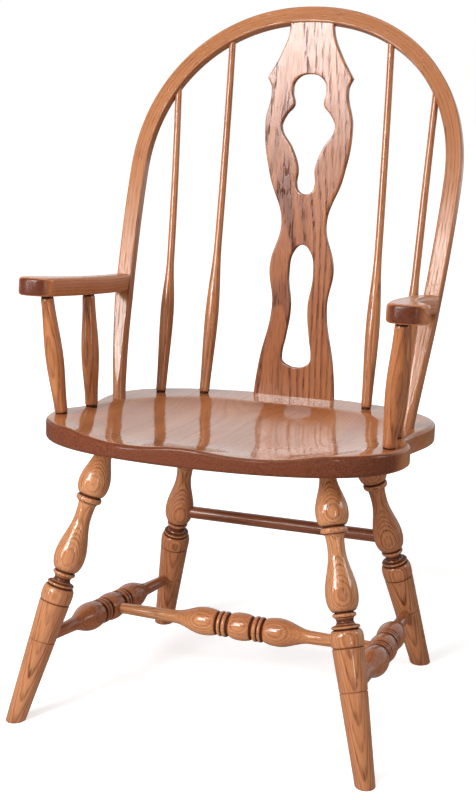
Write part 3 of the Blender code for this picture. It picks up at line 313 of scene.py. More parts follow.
def lacquered_oak(name, pale, honey, streak, end_grain, ring, wander,
                  streaks=0.7, pored=0.75, fleck=820.0, gloss=0.07, cut=(0.45, 0.90), drunk=0.60):
    """Oak under gloss lacquer, read from each point's place in the log.

    Its distance from the pith, shaken by a slow noise and counted in ring widths, gives a saw
    tooth: open-pored spring wood that starts sharply and fades into dense summer wood. Pores are
    a noise drawn out along the fibres, thickest in spring wood, and sunk a little into the coat.
    Open pores and end grain drink the lacquer and are duller.
    """
    made = bpy.data.materials.new(name)
    made.use_nodes = True
    tree = made.node_tree
    shader = tree.nodes["Principled BSDF"]
    place = wire(tree, "ShaderNodeAttribute", {}, attribute_name="grain").outputs["Vector"]

    def stretched(across, lengthways, detail):
        """A noise over the log, at one pace across the fibres and another along them."""
        scaled = vector_sum(tree, "MULTIPLY", place, (across, across, lengthways))
        return wire(tree, "ShaderNodeTexNoise", {"Vector": scaled, "Scale": 1.0, "Detail": detail})

    def blended(share, *colours):
        """A colour that goes from the first to the second as the share goes from 0 to 1."""
        first, second = [colour if isinstance(colour, bpy.types.NodeSocket) else (*colour, 1.0)
                         for colour in colours]
        return wire(tree, "ShaderNodeMix", {0: share, 6: first, 7: second},
                    data_type="RGBA").outputs[2]

    shake = vector_sum(tree, "SUBTRACT", stretched(*shake_noise).outputs["Color"], (0.5, 0.5, 0.5))
    shaken = vector_sum(tree, "MULTIPLY_ADD", shake, (wander, wander, 0.0), place)
    level = vector_sum(tree, "MULTIPLY", shaken, (1.0, 1.0, 0.0))
    counted = sum_of(tree, "DIVIDE", length_of(tree, level), ring)
    tooth = sum_of(tree, "FRACT", counted)
    year = wire(tree, "ShaderNodeTexWhiteNoise", {"W": sum_of(tree, "FLOOR", counted)},
                noise_dimensions="1D").outputs["Value"]
    spring = sum_of(tree, "MULTIPLY", ranged(tree, tooth, 0.0, spring_onset),
                    ranged(tree, tooth, *spring_fade, 1.0, 0.0))
    strong = ranged(tree, year, 0.0, 1.0, leanest_year, 1.0)
    spring = sum_of(tree, "MULTIPLY", spring, strong)

    fibre = stretched(*fibre_noise).outputs["Fac"]
    flecks = ranged(tree, stretched(fleck, *fleck_noise).outputs["Fac"], *fleck_edge)
    opened = sum_of(tree, "MULTIPLY_ADD", spring, pores_in_spring, pores_always)
    pores = sum_of(tree, "MULTIPLY", flecks, opened)
    tone = ranged(tree, stretched(*tone_noise).outputs["Fac"], *tone_edge)
    colour = blended(tone, pale, honey)
    colour = blended(sum_of(tree, "MULTIPLY", spring, streaks), colour, streak)
    colour = blended(ranged(tree, fibre, *fibre_edge, 0.0, fibre_dark * pored), colour, streak)
    drinking = sum_of(tree, "MULTIPLY", pores, pored)
    colour = blended(drinking, colour, [c * pore_tone for c in streak])
    squarely = wire(tree, "ShaderNodeAttribute", {}, attribute_name="grain_end").outputs["Fac"]
    cut_across = ranged(tree, squarely, *cut)
    mottle = ranged(tree, stretched(*mottle_noise).outputs["Fac"], *mottle_edge)
    mottled = blended(mottle, *[[c * shade for c in end_grain] for shade in mottle_tones])
    colour = blended(cut_across, colour, mottled)
    tree.links.new(colour, shader.inputs["Base Color"])
    dull = sum_of(tree, "MULTIPLY_ADD", cut_across, drunk, drinking)
    coat = sum_of(tree, "MAXIMUM", sum_of(tree, "SUBTRACT", 1.0, dull), least_coat)
    tree.links.new(coat, shader.inputs["Coat Weight"])
    sunk = wire(tree, "ShaderNodeBump", {"Height": pores, "Strength": pore_strength * pored,
                                         "Distance": pore_depth}, invert=True)
    tree.links.new(sunk.outputs["Normal"], shader.inputs["Normal"])
    tree.links.new(sunk.outputs["Normal"], shader.inputs["Coat Normal"])
    shader.inputs["Roughness"].default_value = wood_rough
    shader.inputs["Specular IOR Level"].default_value = 0.0
    shader.inputs["Coat Roughness"].default_value = gloss
    shader.inputs["Coat IOR"].default_value = coat_ior
    return made


def hollowed(x, y, middle, half, depth, square, power):
    """Height of a hollow's bowl: its depth by a power of the distance out, less one.

    The distance is 1 all along the bowl's superelliptic rim, and the plank is at height nought.
    """
    out = (np.abs((x - middle[0]) / half[0]) ** square
           + np.abs((y - middle[1]) / half[1]) ** square) ** (1.0 / square)
    return depth * (out ** power - 1.0)


def lowest(heights, blend):
    """The lowest of several surfaces, run into each other: minus the log of summed powers of e."""
    return -blend * np.log(sum(np.exp(-height / blend) for height in heights))


def wavering(place, other, pace, sway, sway_pace):
    """A sine along one way that sways with a sine along the other."""
    return np.sin(pace * place + sway * np.sin(sway_pace * other))


def saddle(x, y):
    """Height of the seat over its plane: dish and thighs run together, then cut from the plank.

    A product of two wavering sines leaves the faint ripple of the scraper.
    """
    bowls = lowest([hollowed(x, y, *bowl) for bowl in (dish, *thighs)], hollow_blend)
    ripple = wavering(x, y, *scrape_across) * wavering(y, x, *scrape_along)
    return lowest([np.zeros_like(x), bowls], rim_blend) + scraped * ripple


def on_seat(x, y):
    """A point on the seat's top plane."""
    return np.array([x, y, seat_height - seat_slope * y])


seat_loop = seat_half_outline + [
    ((-spot[0], spot[1]), (way[0], -way[1]), after, before)
    for spot, way, before, after in reversed(seat_half_outline[1:-1])]
seat_outline = np.concatenate([
    bezier(a, np.add(a, np.multiply(a_way, a_after)), np.subtract(b, np.multiply(b_way, b_before)),
           b, seat_curve_steps)
    for (a, a_way, _, a_after), (b, b_way, b_before, _)
    in zip(seat_loop, seat_loop[1:] + seat_loop[:1])])
seat_run = unit(np.roll(seat_outline, -1, axis=0) - np.roll(seat_outline, 1, axis=0))
seat_out = np.stack([seat_run[:, 1], -seat_run[:, 0]], axis=-1)
quarter = np.linspace(0.0, math.pi / 2, seat_edge_steps)
seat_inset = np.concatenate([seat_edge * (1 - np.sin(quarter)), seat_edge * (1 - np.cos(quarter))])
seat_drop = np.concatenate([seat_edge * (1 - np.cos(quarter)) - seat_thick,
                            seat_edge * (np.sin(quarter) - 1)])
seat_rim = seat_outline[None] - seat_out[None] * seat_inset[:, None, None]
inwards = np.linspace(1.0, 0.0, seat_rings)[1:-1, None, None] ** seat_crowding
seat_under = seat_middle + (seat_rim[:1] - seat_middle) * inwards[::-seat_under_every]
seat_upper = seat_middle + (seat_rim[-1:] - seat_middle) * inwards
seat_plan = np.concatenate([seat_under, seat_rim, seat_upper])
seat_level = np.concatenate([np.full(len(seat_under), -seat_thick), seat_drop,
                             np.zeros(len(seat_upper))])
on_top = np.concatenate([np.zeros(len(seat_under) + len(quarter)), np.ones(len(quarter)),
                         np.ones(len(seat_upper))])
seat_z = seat_level[:, None] + on_top[:, None] * saddle(seat_plan[..., 0], seat_plan[..., 1])
seat_tilt = math.atan(seat_slope)
seat_back = np.array([0.0, math.cos(seat_tilt), -math.sin(seat_tilt)])
seat_up = np.array([0.0, math.sin(seat_tilt), math.cos(seat_tilt)])
seat_points = (on_seat(0.0, 0.0) + seat_plan[..., :1] * chair_left
               + seat_plan[..., 1:] * seat_back + seat_z[..., None] * seat_up)
seat_grain = np.stack([seat_plan[..., 0] + seat_pith[0], seat_z + seat_pith[1],
                       seat_plan[..., 1]], axis=-1)
seat_oak = lacquered_oak(
    "oak_seat", (0.48, 0.184, 0.068), (0.40, 0.138, 0.047), (0.24, 0.072, 0.025),
    (0.150, 0.044, 0.021), ring=0.0062, wander=0.020, streaks=0.30, pored=0.25, gloss=0.05,
    cut=(0.08, 0.40))
set_in_chair("seat", *rolled(seat_points, seat_grain), seat_back, seat_oak, "oak_seat")

# Legs
# Four raked legs turned from straight oak with vases, beads, coves and scored lines, their round
# tenons in the seat's underside and their feet sawn level. The vases show the rings as ovals.
leg_foot = {"front": (0.278, -0.273), "rear": (0.2333, 0.1680)}
leg_top = {"front": (0.1727, -0.1510), "rear": (0.1456, 0.1005)}
leg_bead_rise = {"front": 0.3572, "rear": 0.3255}
leg_tenon, leg_tenon_radius = 0.0150, 0.0118
leg_rail_drop = 0.2266
leg_rear_lower = 0.0045
leg_rear_rail_drop = 0.0945
leg_past_floor = 0.02
foot_chamfer, foot_drawn_in = 0.0010, 0.95
# The turning, in heights over the middle of its bead and radii. A bead has its middle, half width,
# radius and root, and a scored line its half width and depth.
leg_shoulder = (0.0840, 0.0120)
leg_vase = ((0.0790, 0.0120), (0.0255, 0.0238))
leg_vase_foot = ((0.0253, 0.0238), (0.0060, 0.0156))
leg_bead = (0.0, 0.0052, 0.0196, 0.0153)
leg_bead_quirk = (-0.0062, 0.0148)
leg_throat = ((-0.0268, 0.0126), (-0.0070, 0.0144))
leg_long_vase = ((-0.0270, 0.0126), (-0.0916, 0.0235))
leg_long_vase_steps = 30
leg_long_vase_foot = ((-0.0918, 0.0235), (-0.1152, 0.0136))
leg_ring = (-0.1194, 0.0034, 0.0172, 0.0134)
leg_cove = ((-0.1232, 0.0138), (-0.1330, 0.0146))
leg_cove_depth = 0.0020
leg_collar = (-0.1364, 0.0030, 0.0207, 0.0160)
leg_collar_quirk = (-0.1398, 0.0186)
leg_swell = ((-0.1510, 0.0239), (-0.1400, 0.0192))
leg_swell_foot = ((-0.1512, 0.0239), (-0.1636, 0.0229))
leg_taper = ((-0.1650, 0.0231), (-0.3572, 0.0145))
leg_taper_spots = (-0.2600, -0.3000)
leg_groove, leg_rail_line = (0.0014, 0.0016), (0.0011, 0.0012)
score_flat = 0.25
towards_picture = np.array([0.37, -0.93, 0.0])
hands = {"left": 1.0, "right": -1.0}
turning_round = 72
# How far a groove looks along the axis for its sides, and how deep it sinks to be painted fully
# dark: painted shade, with stain
groove_shade_reach, groove_shade_full = 0.0090, 0.0020


def ease(start, end, steps=22):
    """Profile from start to end, radius on half a cosine: an S, level at both ends."""
    t = np.linspace(0.0, 1.0, steps)[:, None]
    share = np.concatenate([t, 0.5 - 0.5 * np.cos(np.pi * t)], axis=1)
    return np.array(start) + (np.array(end) - np.array(start)) * share


def dome(start, end, steps=14):
    """Profile from start to end on a quarter ellipse, level at its start."""
    angle = np.linspace(0.0, math.pi / 2, steps)[:, None]
    share = np.concatenate([np.sin(angle), 1.0 - np.cos(angle)], axis=1)
    return np.array(start) + (np.array(end) - np.array(start)) * share


def bead(middle, half, radius, root, steps=11):
    """A half-round bead across the profile, from its upper root to its lower one."""
    angle = np.linspace(math.pi / 2, -math.pi / 2, steps)
    return np.stack([middle + half * np.sin(angle), root + (radius - root) * np.cos(angle)], -1)


def cove(start, end, depth, steps=11):
    """A hollow from start to end: the straight way, sunk by half a sine."""
    t = np.linspace(0.0, 1.0, steps)[:, None]
    sunk = np.concatenate([t * 0.0, depth * np.sin(np.pi * t)], axis=1)
    return np.array(start) + (np.array(end) - np.array(start)) * t - sunk


def score(middle, half, depth, radius):
    """A V-shaped line cut round the turning, with a small flat at its bottom."""
    flat = half * score_flat
    return np.array([(middle + half, radius), (middle + flat, radius - depth),
                     (middle - flat, radius - depth), (middle - half, radius)])


def swept_round(line, run, radius, along, pith, around):
    """Carry a circle of changing radius along a line, with its places in the log.

    Point = line + radius * (cos a * u + sin a * v), u being the side of the run that faces the
    picture. The pith lies at the given offset behind the line.
    """
    u = unit(towards_picture - run * (run @ towards_picture)[..., None])
    v = np.cross(run, u)
    angle = np.linspace(0.0, 2 * math.pi, around, endpoint=False)
    ring = np.cos(angle)[:, None] * u[..., None, :] + np.sin(angle)[:, None] * v[..., None, :]
    points = line[:, None] + radius[:, None, None] * ring
    grain = np.stack([radius[:, None] * np.cos(angle) + pith[0],
                      radius[:, None] * np.sin(angle) + pith[1],
                      along[:, None] + 0.0 * angle + pith[2]], axis=-1)
    return points, grain


def turned(profile, foot, run, pith):
    """Carry a profile of (height, radius), lowest first, round the axis from foot along run."""
    height, radius = profile.T
    return swept_round(foot + height[:, None] * run, run, radius, height, pith, turning_round)


def groove_stain_and_shade(profile):
    """How dark each ring of a turning is painted, by how far it lies below both its sides:
    painted shade in coves and scored lines, with stain gathered there too.

    A side's height is the largest radius within a short reach along the axis.
    """
    height, radius = profile[:, 0], profile[:, 1]
    apart = height[None] - height[:, None]
    sides = [np.where((way * apart >= 0.0) & (way * apart <= groove_shade_reach), radius, 0.0).max(axis=1)
             for way in (-1.0, 1.0)]
    return np.repeat(np.clip((np.minimum(*sides) - radius) / groove_shade_full, 0.0, 1.0), turning_round)


def leg_axis(end, side):
    """A leg's foot, the way it runs, and its length up to the seat's underside."""
    foot = np.array([leg_foot[end][0] * side, leg_foot[end][1], 0.0])
    x, y = leg_top[end]
    top = on_seat(x * side, y) - np.array([0.0, 0.0, seat_thick * math.hypot(1.0, seat_slope)])
    return foot, unit(top - foot), np.linalg.norm(top - foot)


def leg_spot(end, side, drop):
    """A point on a leg's axis, a distance below its bead."""
    foot, run, _ = leg_axis(end, side)
    return foot + run * (leg_bead_rise[end] - drop)


def taper_radius(height):
    """Radius of the plain taper, at a height from the bead."""
    (top, wide), (bottom, slim) = leg_taper
    return slim + (wide - slim) * (height - bottom) / (top - bottom)


def leg_profile(length, bead_rise):
    """The leg's turning from the top of its tenon down past the floor, heights from its foot."""
    groove_height, groove_radius = leg_taper[0]
    shape = np.concatenate([
        [(length + leg_tenon - bead_rise, leg_tenon_radius), leg_shoulder],
        ease(*leg_vase),
        dome(*leg_vase_foot),
        bead(*leg_bead),
        [leg_bead_quirk],
        dome(*leg_throat)[::-1],
        ease(*leg_long_vase, leg_long_vase_steps),
        dome(*leg_long_vase_foot),
        bead(*leg_ring),
        cove(*leg_cove, leg_cove_depth),
        bead(*leg_collar),
        [leg_collar_quirk],
        dome(*leg_swell)[::-1],
        dome(*leg_swell_foot),
        score(groove_height, *leg_groove, groove_radius),
        score(-leg_rail_drop, *leg_rail_line, taper_radius(-leg_rail_drop)),
        [(height, taper_radius(height))
         for height in (*leg_taper_spots, -bead_rise - leg_past_floor)],
    ])
    shape[:, 0] += bead_rise
    return shape[::-1]


def sawn_level(points, grain):
    """Saw the lowest ring off along its own lines on the floor, with a small chamfer inside it."""
    def sawn(height):
        """The lowest ring and its places in the wood, slid along its lines to a height."""
        share = (height - points[0, :, 2:]) / (points[1, :, 2:] - points[0, :, 2:])
        return [row[0] + (row[1] - row[0]) * share for row in (points, grain)]

    edge, edge_grain = sawn(foot_chamfer)
    flat, flat_grain = sawn(0.0)
    middle = flat.mean(axis=0)
    flat = middle + (flat - middle) * foot_drawn_in
    return (np.concatenate([[flat, edge], points[1:]]),
            np.concatenate([[flat_grain, edge_grain], grain[1:]]))


leg_oaks = {
    "front": lacquered_oak(
        "oak_front_legs", (0.61, 0.275, 0.124), (0.50, 0.205, 0.090), (0.22, 0.072, 0.030),
        (0.12, 0.037, 0.017), ring=0.0019, wander=0.0040, streaks=0.75, fleck=560.0),
    # The rear legs take a darker copy of the front legs' oak: painted shade for the seat's shadow
    # on them
    "rear": lacquered_oak(
        "oak_rear_legs_shaded", (0.54, 0.220, 0.096), (0.43, 0.158, 0.067), (0.17, 0.054, 0.023),
        (0.11, 0.034, 0.016), ring=0.0019, wander=0.0040, streaks=0.75, fleck=560.0)}
leg_pith = {("front", "left"): (0.046, 0.003, 0.0), ("front", "right"): (0.052, -0.004, 0.7),
            ("rear", "left"): (0.049, -0.003, 1.4), ("rear", "right"): (0.043, 0.002, 2.1)}
for end, oak in leg_oaks.items():
    for hand, side in hands.items():
        foot, run, length = leg_axis(end, side)
        profile = leg_profile(length, leg_bead_rise[end])
        points, grain = sawn_level(*turned(profile, foot, run, leg_pith[end, hand]))
        # Coves and scored lines take the dark end grain colour: painted shade, with stain gathered
        # there
        shade_rows = np.concatenate([np.zeros(turning_round), groove_stain_and_shade(profile)])
        set_in_chair(f"leg_{end}_{hand}", *rolled(points, grain), run, oak, "oak_legs", shade_rows)

# Stretchers
# An H of turned stretchers, each with a bead between pairs of rings and a vase on either side,
# tenoned into the legs and into each other, and one plain round rail between the rear legs.
stretcher_past_axis = 0.0040
stretcher_in_leg = 0.0231
stretcher_tenon = stretcher_in_leg + stretcher_past_axis
centre_tenon = 0.0150
# Half the turning from its middle, in heights and radii, with its rings as the legs have theirs
stretcher_bead = ((0.0, 0.0220), (0.0186, 0.0166))
stretcher_rings = ((0.0258, 0.0042, 0.0203, 0.0162), (0.0340, 0.0036, 0.0202, 0.0162))
stretcher_quirks = ((0.0200, 0.0152), (0.0302, 0.0162), (0.0386, 0.0152))
stretcher_vase_head = ((0.0630, 0.0222), (0.0396, 0.0166))
stretcher_vase = ((0.0632, 0.0222), (0.1150, 0.0104))
stretcher_neck, stretcher_tenon_radius = 0.0086, 0.0080
stretcher_shoulder = 0.002
side_pith = (0.041, 0.012, 1.0)
centre_pith = (0.044, -0.020, 3.0)
rail_radii = (0.0104, 0.0102, 0.0078)
rail_tenon = 0.0235
rail_shoulder = 0.006
rail_pith = (0.040, 0.010, 4.0)


def both_ways(half):
    """A turning given from its middle to one end, made whole and measured from the other end."""
    whole = np.concatenate([half[1:][::-1] * np.array([-1.0, 1.0]), half])
    return whole + np.array([half[-1, 0], 0.0])


def stretcher_profile(length, tenon):
    """The turning of half a stretcher from its middle, then the same the other way."""
    tip = length / 2
    return both_ways(np.concatenate([
        dome(*stretcher_bead),
        [stretcher_quirks[0]],
        bead(*stretcher_rings[0])[::-1],
        [stretcher_quirks[1]],
        bead(*stretcher_rings[1])[::-1],
        [stretcher_quirks[2]],
        dome(*stretcher_vase_head)[::-1],
        ease(*stretcher_vase),
        [(tip - tenon, stretcher_neck), (tip - tenon + stretcher_shoulder, stretcher_tenon_radius),
         (tip, stretcher_tenon_radius)],
    ]))


# The side stretchers take a darker copy of the centre stretcher's oak: painted shade for the
# shadow they lie in
shaded_side_oak = lacquered_oak(
    "oak_side_stretchers_shaded", (0.47, 0.172, 0.070), (0.38, 0.125, 0.049), (0.21, 0.060, 0.024),
    (0.09, 0.027, 0.013), ring=0.0022, wander=0.0060, streaks=0.60)
centre_oak = lacquered_oak(
    "oak_centre_stretcher", (0.65, 0.295, 0.130), (0.54, 0.220, 0.094), (0.27, 0.088, 0.036),
    (0.15, 0.045, 0.020), ring=0.0022, wander=0.0060, streaks=0.55)
side_middles = {}
for hand, side in hands.items():
    front = leg_spot("front", side, leg_rail_drop)
    rear = leg_spot("rear", side, leg_rail_drop + leg_rear_lower)
    run = unit(rear - front)
    foot = front - run * stretcher_past_axis
    length = np.linalg.norm(rear - front) + 2 * stretcher_past_axis
    side_middles[hand] = foot + run * length / 2
    profile = stretcher_profile(length, stretcher_tenon)
    pith = np.multiply(side_pith, (1.0, side, side))
    # Its coves and ring quirks take the dark end grain colour: painted shade, with stain gathered
    # there
    set_in_chair(f"stretcher_side_{hand}", *rolled(*turned(profile, foot, run, pith)), run,
                 shaded_side_oak, "oak_stretchers", groove_stain_and_shade(profile))

across = side_middles["left"] - side_middles["right"]
run = unit(across)
into_bead = stretcher_bead[0][1] - centre_tenon
foot = side_middles["right"] + run * into_bead
profile = stretcher_profile(np.linalg.norm(across) - 2 * into_bead, centre_tenon)
# Its coves and ring quirks take the dark end grain colour: painted shade, with stain gathered
# there
set_in_chair("stretcher_centre", *rolled(*turned(profile, foot, run, centre_pith)), run,
             centre_oak, "oak_stretchers", groove_stain_and_shade(profile))

rail_right = leg_spot("rear", -1.0, leg_rear_rail_drop)
rail_left = leg_spot("rear", 1.0, leg_rear_rail_drop)
run = unit(rail_left - rail_right)
rail_tip = np.linalg.norm(rail_left - rail_right) / 2
rail_neck = rail_tip - rail_tenon
profile = both_ways(np.concatenate([
    [(0.0, rail_radii[0])],
    ease((rail_neck, rail_radii[1]), (rail_neck + rail_shoulder, rail_radii[2])),
    [(rail_tip, rail_radii[2])]]))
# The rail takes a darker oak than the other turnings: painted shade for the shadow under the seat
shaded_rail_oak = lacquered_oak(
    "oak_rear_rail_shaded", (0.34, 0.120, 0.054), (0.27, 0.086, 0.038), (0.14, 0.040, 0.018),
    (0.10, 0.030, 0.016), ring=0.0030, wander=0.0060, pored=0.50, gloss=0.25)
set_in_chair("stretcher_rear", *rolled(*turned(profile, rail_right, run, rail_pith)), run,
             shaded_rail_oak, "oak_stretchers")

# Bow
# A flat oak stick with soft corners, steamed and bent to an arch in one leaning plane. Its feet
# are rounded, kicked back a little and tenoned into the seat.
bow_lean = math.radians(23.3)
bow_origin = on_seat(0.0, 0.008)
bow_up = np.array([0.0, math.sin(bow_lean), math.cos(bow_lean)])
bow_front = np.array([0.0, -math.cos(bow_lean), math.sin(bow_lean)])
bow_half_width = 0.2632
bow_foot_x = 0.240
bow_spring = 0.3863
bow_rise = 0.2646
bow_power = 2.1
bow_flare = 1.67
bow_wide, bow_deep = 0.0260, 0.0175
bow_corner = 0.0028
bow_foot_radius = 0.0105
# The heights between which the section goes from oblong to round
bow_round = (0.170, 0.025)
bow_kick = 0.0157
bow_kick_from = 0.200
bow_tenon = 0.0170
bow_pith = (0.030, 0.012)
bow_rows = 320
bow_arch_steps, bow_limb_steps = 400, 300
bow_corner_steps, bow_flat_steps = 6, 18


def bow_limb_x(height):
    """Distance of a limb's middle line from the chair's, below the spring of the arch."""
    share = (bow_spring - height) / bow_spring
    return bow_half_width - (bow_half_width - bow_foot_x) * share ** bow_flare


def bow_arch_height(x):
    """Height of the arch's middle line, at a distance from the chair's: a superellipse."""
    share = (np.abs(x) / bow_half_width) ** bow_power
    return bow_spring + bow_rise * (1.0 - share) ** (1.0 / bow_power)


def bow_space(x, height, front):
    """Points of the bow's plane in the chair, the limbs' feet bent back out of it."""
    bent = np.maximum(0.0, bow_kick_from - height) / bow_kick_from
    out = front - bow_kick * bent ** 2
    return (bow_origin + x[..., None] * chair_left + height[..., None] * bow_up
            + out[..., None] * bow_front)


def evenly(path, rows):
    """Points at even steps along a path, and how far along it each of them lies."""
    steps = np.linalg.norm(np.diff(path, axis=0), axis=1)
    run = np.concatenate([[0.0], np.cumsum(steps)])
    spots = np.linspace(0.0, run[-1], rows)
    return np.stack([np.interp(spots, run, column) for column in path.T], axis=-1), spots


def soft_oblong(wide, deep, corner):
    """A section with round corners: a quarter circle at each, and even steps along each flat."""
    quarter_turn = np.radians(np.linspace(0.0, 90.0, bow_corner_steps))
    arcs = []
    for x, z, turn in ((1, 1, 0.0), (-1, 1, 90.0), (-1, -1, 180.0), (1, -1, 270.0)):
        middle = np.array([x * (wide / 2 - corner), z * (deep / 2 - corner)])
        angle = quarter_turn + math.radians(turn)
        arcs.append(middle + corner * np.stack([np.cos(angle), np.sin(angle)], axis=-1))
    flats = [np.linspace(arc[-1], following[0], bow_flat_steps)[1:-1]
             for arc, following in zip(arcs, arcs[1:] + arcs[:1])]
    return np.concatenate([part for pair in zip(arcs, flats) for part in pair])


bow_section = soft_oblong(bow_wide, bow_deep, bow_corner)
arch_angle = np.linspace(0.0, math.pi / 2, bow_arch_steps)
arch = np.stack([bow_half_width * np.sin(arch_angle) ** (2 / bow_power),
                 bow_spring + bow_rise * np.cos(arch_angle) ** (2 / bow_power)], axis=-1)
limb_height = np.linspace(bow_spring, -bow_tenon, bow_limb_steps)[1:]
limb = np.stack([bow_limb_x(limb_height), limb_height], axis=-1)
half_path = np.concatenate([arch, limb])
bow_path, bow_length = evenly(
    np.concatenate([half_path[:0:-1] * np.array([-1.0, 1.0]), half_path]), bow_rows)
bow_run = unit(np.gradient(bow_path, axis=0))
bow_out = np.stack([-bow_run[:, 1], bow_run[:, 0]], axis=-1)
rounding = np.clip((bow_round[0] - bow_path[:, 1]) / (bow_round[0] - bow_round[1]), 0.0, 1.0)
deepened = 1.0 + (2.0 * bow_foot_radius / bow_deep - 1.0) * rounding
section = bow_section * np.stack([np.ones_like(deepened), deepened], axis=-1)[:, None]
corner_reach = np.linalg.norm(bow_section, axis=1).max()
round_reach = corner_reach + (bow_foot_radius - corner_reach) * rounding
section = section * np.minimum(
    1.0, round_reach[:, None] / np.linalg.norm(section, axis=-1))[..., None]
bow_plan = bow_path[:, None] + bow_out[:, None] * section[..., :1]
bow_points = bow_space(bow_plan[..., 0], bow_plan[..., 1], section[..., 1])
bow_lengthways = np.broadcast_to(bow_length[:, None, None], (*section.shape[:2], 1))
bow_grain = np.concatenate([section + np.array(bow_pith), bow_lengthways], axis=-1)
bow_along = np.repeat(bow_run[:, :1] * chair_left + bow_run[:, 1:] * bow_up,
                      len(bow_section), axis=0)
bow_oak = lacquered_oak(
    "oak_bow", (0.45, 0.185, 0.076), (0.37, 0.142, 0.055), (0.25, 0.082, 0.031),
    (0.25, 0.085, 0.035), ring=0.0046, wander=0.0060, streaks=0.45, gloss=0.17)
set_in_chair("bow", *rolled(bow_points, bow_grain),
             np.concatenate([bow_along, bow_along[[0, -1]]]), bow_oak, "oak_bow")

# Splat
# A thin board sawn to the outline of a fiddle and pierced twice, bent back a little, its foot
# housed in the seat and its head in the bow. Its streaks run up the board.
splat_foot = on_seat(0.0, 0.1844)
splat_head = bow_origin + bow_up * (bow_spring + bow_rise - bow_wide / 2)
splat_length = np.linalg.norm(splat_head - splat_foot)
splat_up = unit(splat_head - splat_foot)
splat_front = np.cross(chair_left, splat_up)
splat_thick = 0.010
splat_bend = 0.007
splat_soft = 0.0011
splat_foot_tenon, splat_head_tenon = 0.014, 0.0085
splat_ear = (0.0722, 0.5168)
splat_neck, splat_neck_tall = 0.0376, 0.014
# Right halves of the outline and the piercings: distance from the middle, height, is it a corner
splat_outline = [
    (0.0695, -splat_foot_tenon, True), (0.0695, 0.0, False), (0.0640, 0.053, False),
    (0.0467, 0.149, False), (0.0545, 0.2125, False), (0.0382, 0.286, False),
    (0.0620, 0.359, False), (0.0745, 0.440, False), (0.0655, 0.5015, False), (*splat_ear, True),
    (0.0500, 0.5560, False), (splat_neck, splat_length - splat_neck_tall, False),
    (splat_neck, splat_length + splat_head_tenon, True)]
upper_piercing = [
    (0.0, 0.3315, False), (0.0118, 0.3360, False), (0.0160, 0.3480, False),
    (0.0148, 0.3720, False), (0.0258, 0.4040, False), (0.0456, 0.4390, False),
    (0.0386, 0.4580, False), (0.0255, 0.4745, False), (0.0288, 0.4940, False),
    (0.0238, 0.5138, False), (0.0, 0.5236, False)]
lower_piercing = [
    (0.0, 0.0480, False), (0.0150, 0.0513, False), (0.0244, 0.0582, False),
    (0.0258, 0.0700, False), (0.0213, 0.0961, False), (0.0155, 0.1470, False),
    (0.0216, 0.2030, False), (0.0148, 0.2384, False), (0.0, 0.2495, False)]
splat_columns, splat_corner = 15, 4
splat_step, splat_land, splat_ear_step = 0.004, 0.0030, 0.0005
lower_rows, upper_rows = 84, 96
splat_pith, splat_ring_slope = (0.032, 0.028), 0.06
splat_seam = 1e-7
outline_steps = 60
outline_handle = 2.5614


def smooth_loop(points):
    """Each stretch of a closed line through (x, y, is_corner) points, as a cubic Bezier's points.

    A handle lies along the mean of the unit ways in and out, as long as its stretch over
    outline_handle; at a corner it goes a third of the way to the next point.
    """
    spots = np.array([p[:2] for p in points])
    sharp = np.array([p[2] for p in points])[:, None]
    onward = np.roll(spots, -1, axis=0) - spots
    far = np.linalg.norm(onward, axis=1, keepdims=True)
    inward = np.roll(onward, 1, axis=0)
    near = np.roll(far, 1, axis=0)
    lean = unit(onward / far + inward / near) / outline_handle
    leave = np.where(sharp, spots + onward / 3, spots + lean * far)
    arrive = np.where(sharp, spots - inward / 3, spots - lean * near)
    return [bezier(spots[k], leave[k], arrive[(k + 1) % len(spots)], spots[(k + 1) % len(spots)],
                   outline_steps) for k in range(len(spots))]


def right_side(points):
    """The right half of an outline that is the same on both sides: x and height, going up."""
    other = [(-x, h, c) for x, h, c in reversed(points) if x > 0.0]
    stretches = smooth_loop(points + other)[:len(points) - 1]
    return np.concatenate([*stretches, [points[-1][:2]]])


def edge_at(curve, heights, out):
    """Where a side curve is at each height, and the way out of the wood there."""
    run = unit(np.gradient(curve, axis=0))
    x = np.interp(heights, curve[:, 1], curve[:, 0])
    slope = unit(np.stack([np.interp(heights, curve[:, 1], column) for column in run.T], axis=-1))
    return np.stack([x, heights], -1), np.stack([slope[:, 1], -slope[:, 0]], -1) * out


def board(left, left_out, right, right_out, thick, soft, columns, corner):
    """Loops round a board between two edges: front face, right edge, back face, left edge.

    The faces go straight from edge to edge, the edges swing over on quarter circles of radius
    soft. Points are (x, y, z) with z towards the front face.
    """
    angle = np.linspace(0.0, math.pi / 2, corner)[1:]
    across = np.linspace(0.0, 1.0, columns)[:, None]
    left_in, right_in = left - left_out * soft, right - right_out * soft
    face = left_in[:, None] + (right_in - left_in)[:, None] * across
    swing = soft * np.sin(angle)[:, None]
    right_rim = right_in[:, None] + right_out[:, None] * swing
    left_rim = left_in[:, None] + left_out[:, None] * swing
    plan = np.concatenate([face, right_rim, right_rim[:, ::-1], face[:, ::-1],
                           left_rim, left_rim[:, ::-1]], axis=1)
    rim_level = thick / 2 - soft * (1 - np.cos(angle))
    flat_level = np.full(columns, thick / 2)
    level = np.concatenate([flat_level, rim_level, -rim_level[::-1], -flat_level,
                            -rim_level, rim_level[::-1]])
    return np.concatenate([plan, np.broadcast_to(level[:, None], (*plan.shape[:2], 1))], axis=-1)


def between(low, high):
    """Even heights from low to high, about a step apart."""
    return np.linspace(low, high, max(2, int(round((high - low) / splat_step)) + 1))


def through_hole(low, high, rows):
    """Heights through a piercing, crowded at its round ends as a cosine crowds them."""
    heights = (low + high) / 2 - (high - low) / 2 * np.cos(np.linspace(0.0, math.pi, rows))
    return np.clip(heights, low, high)


def bowed(share):
    """A bend's parabola over its length: nought at both ends and 1 halfway."""
    return 4.0 * share * (1.0 - share)


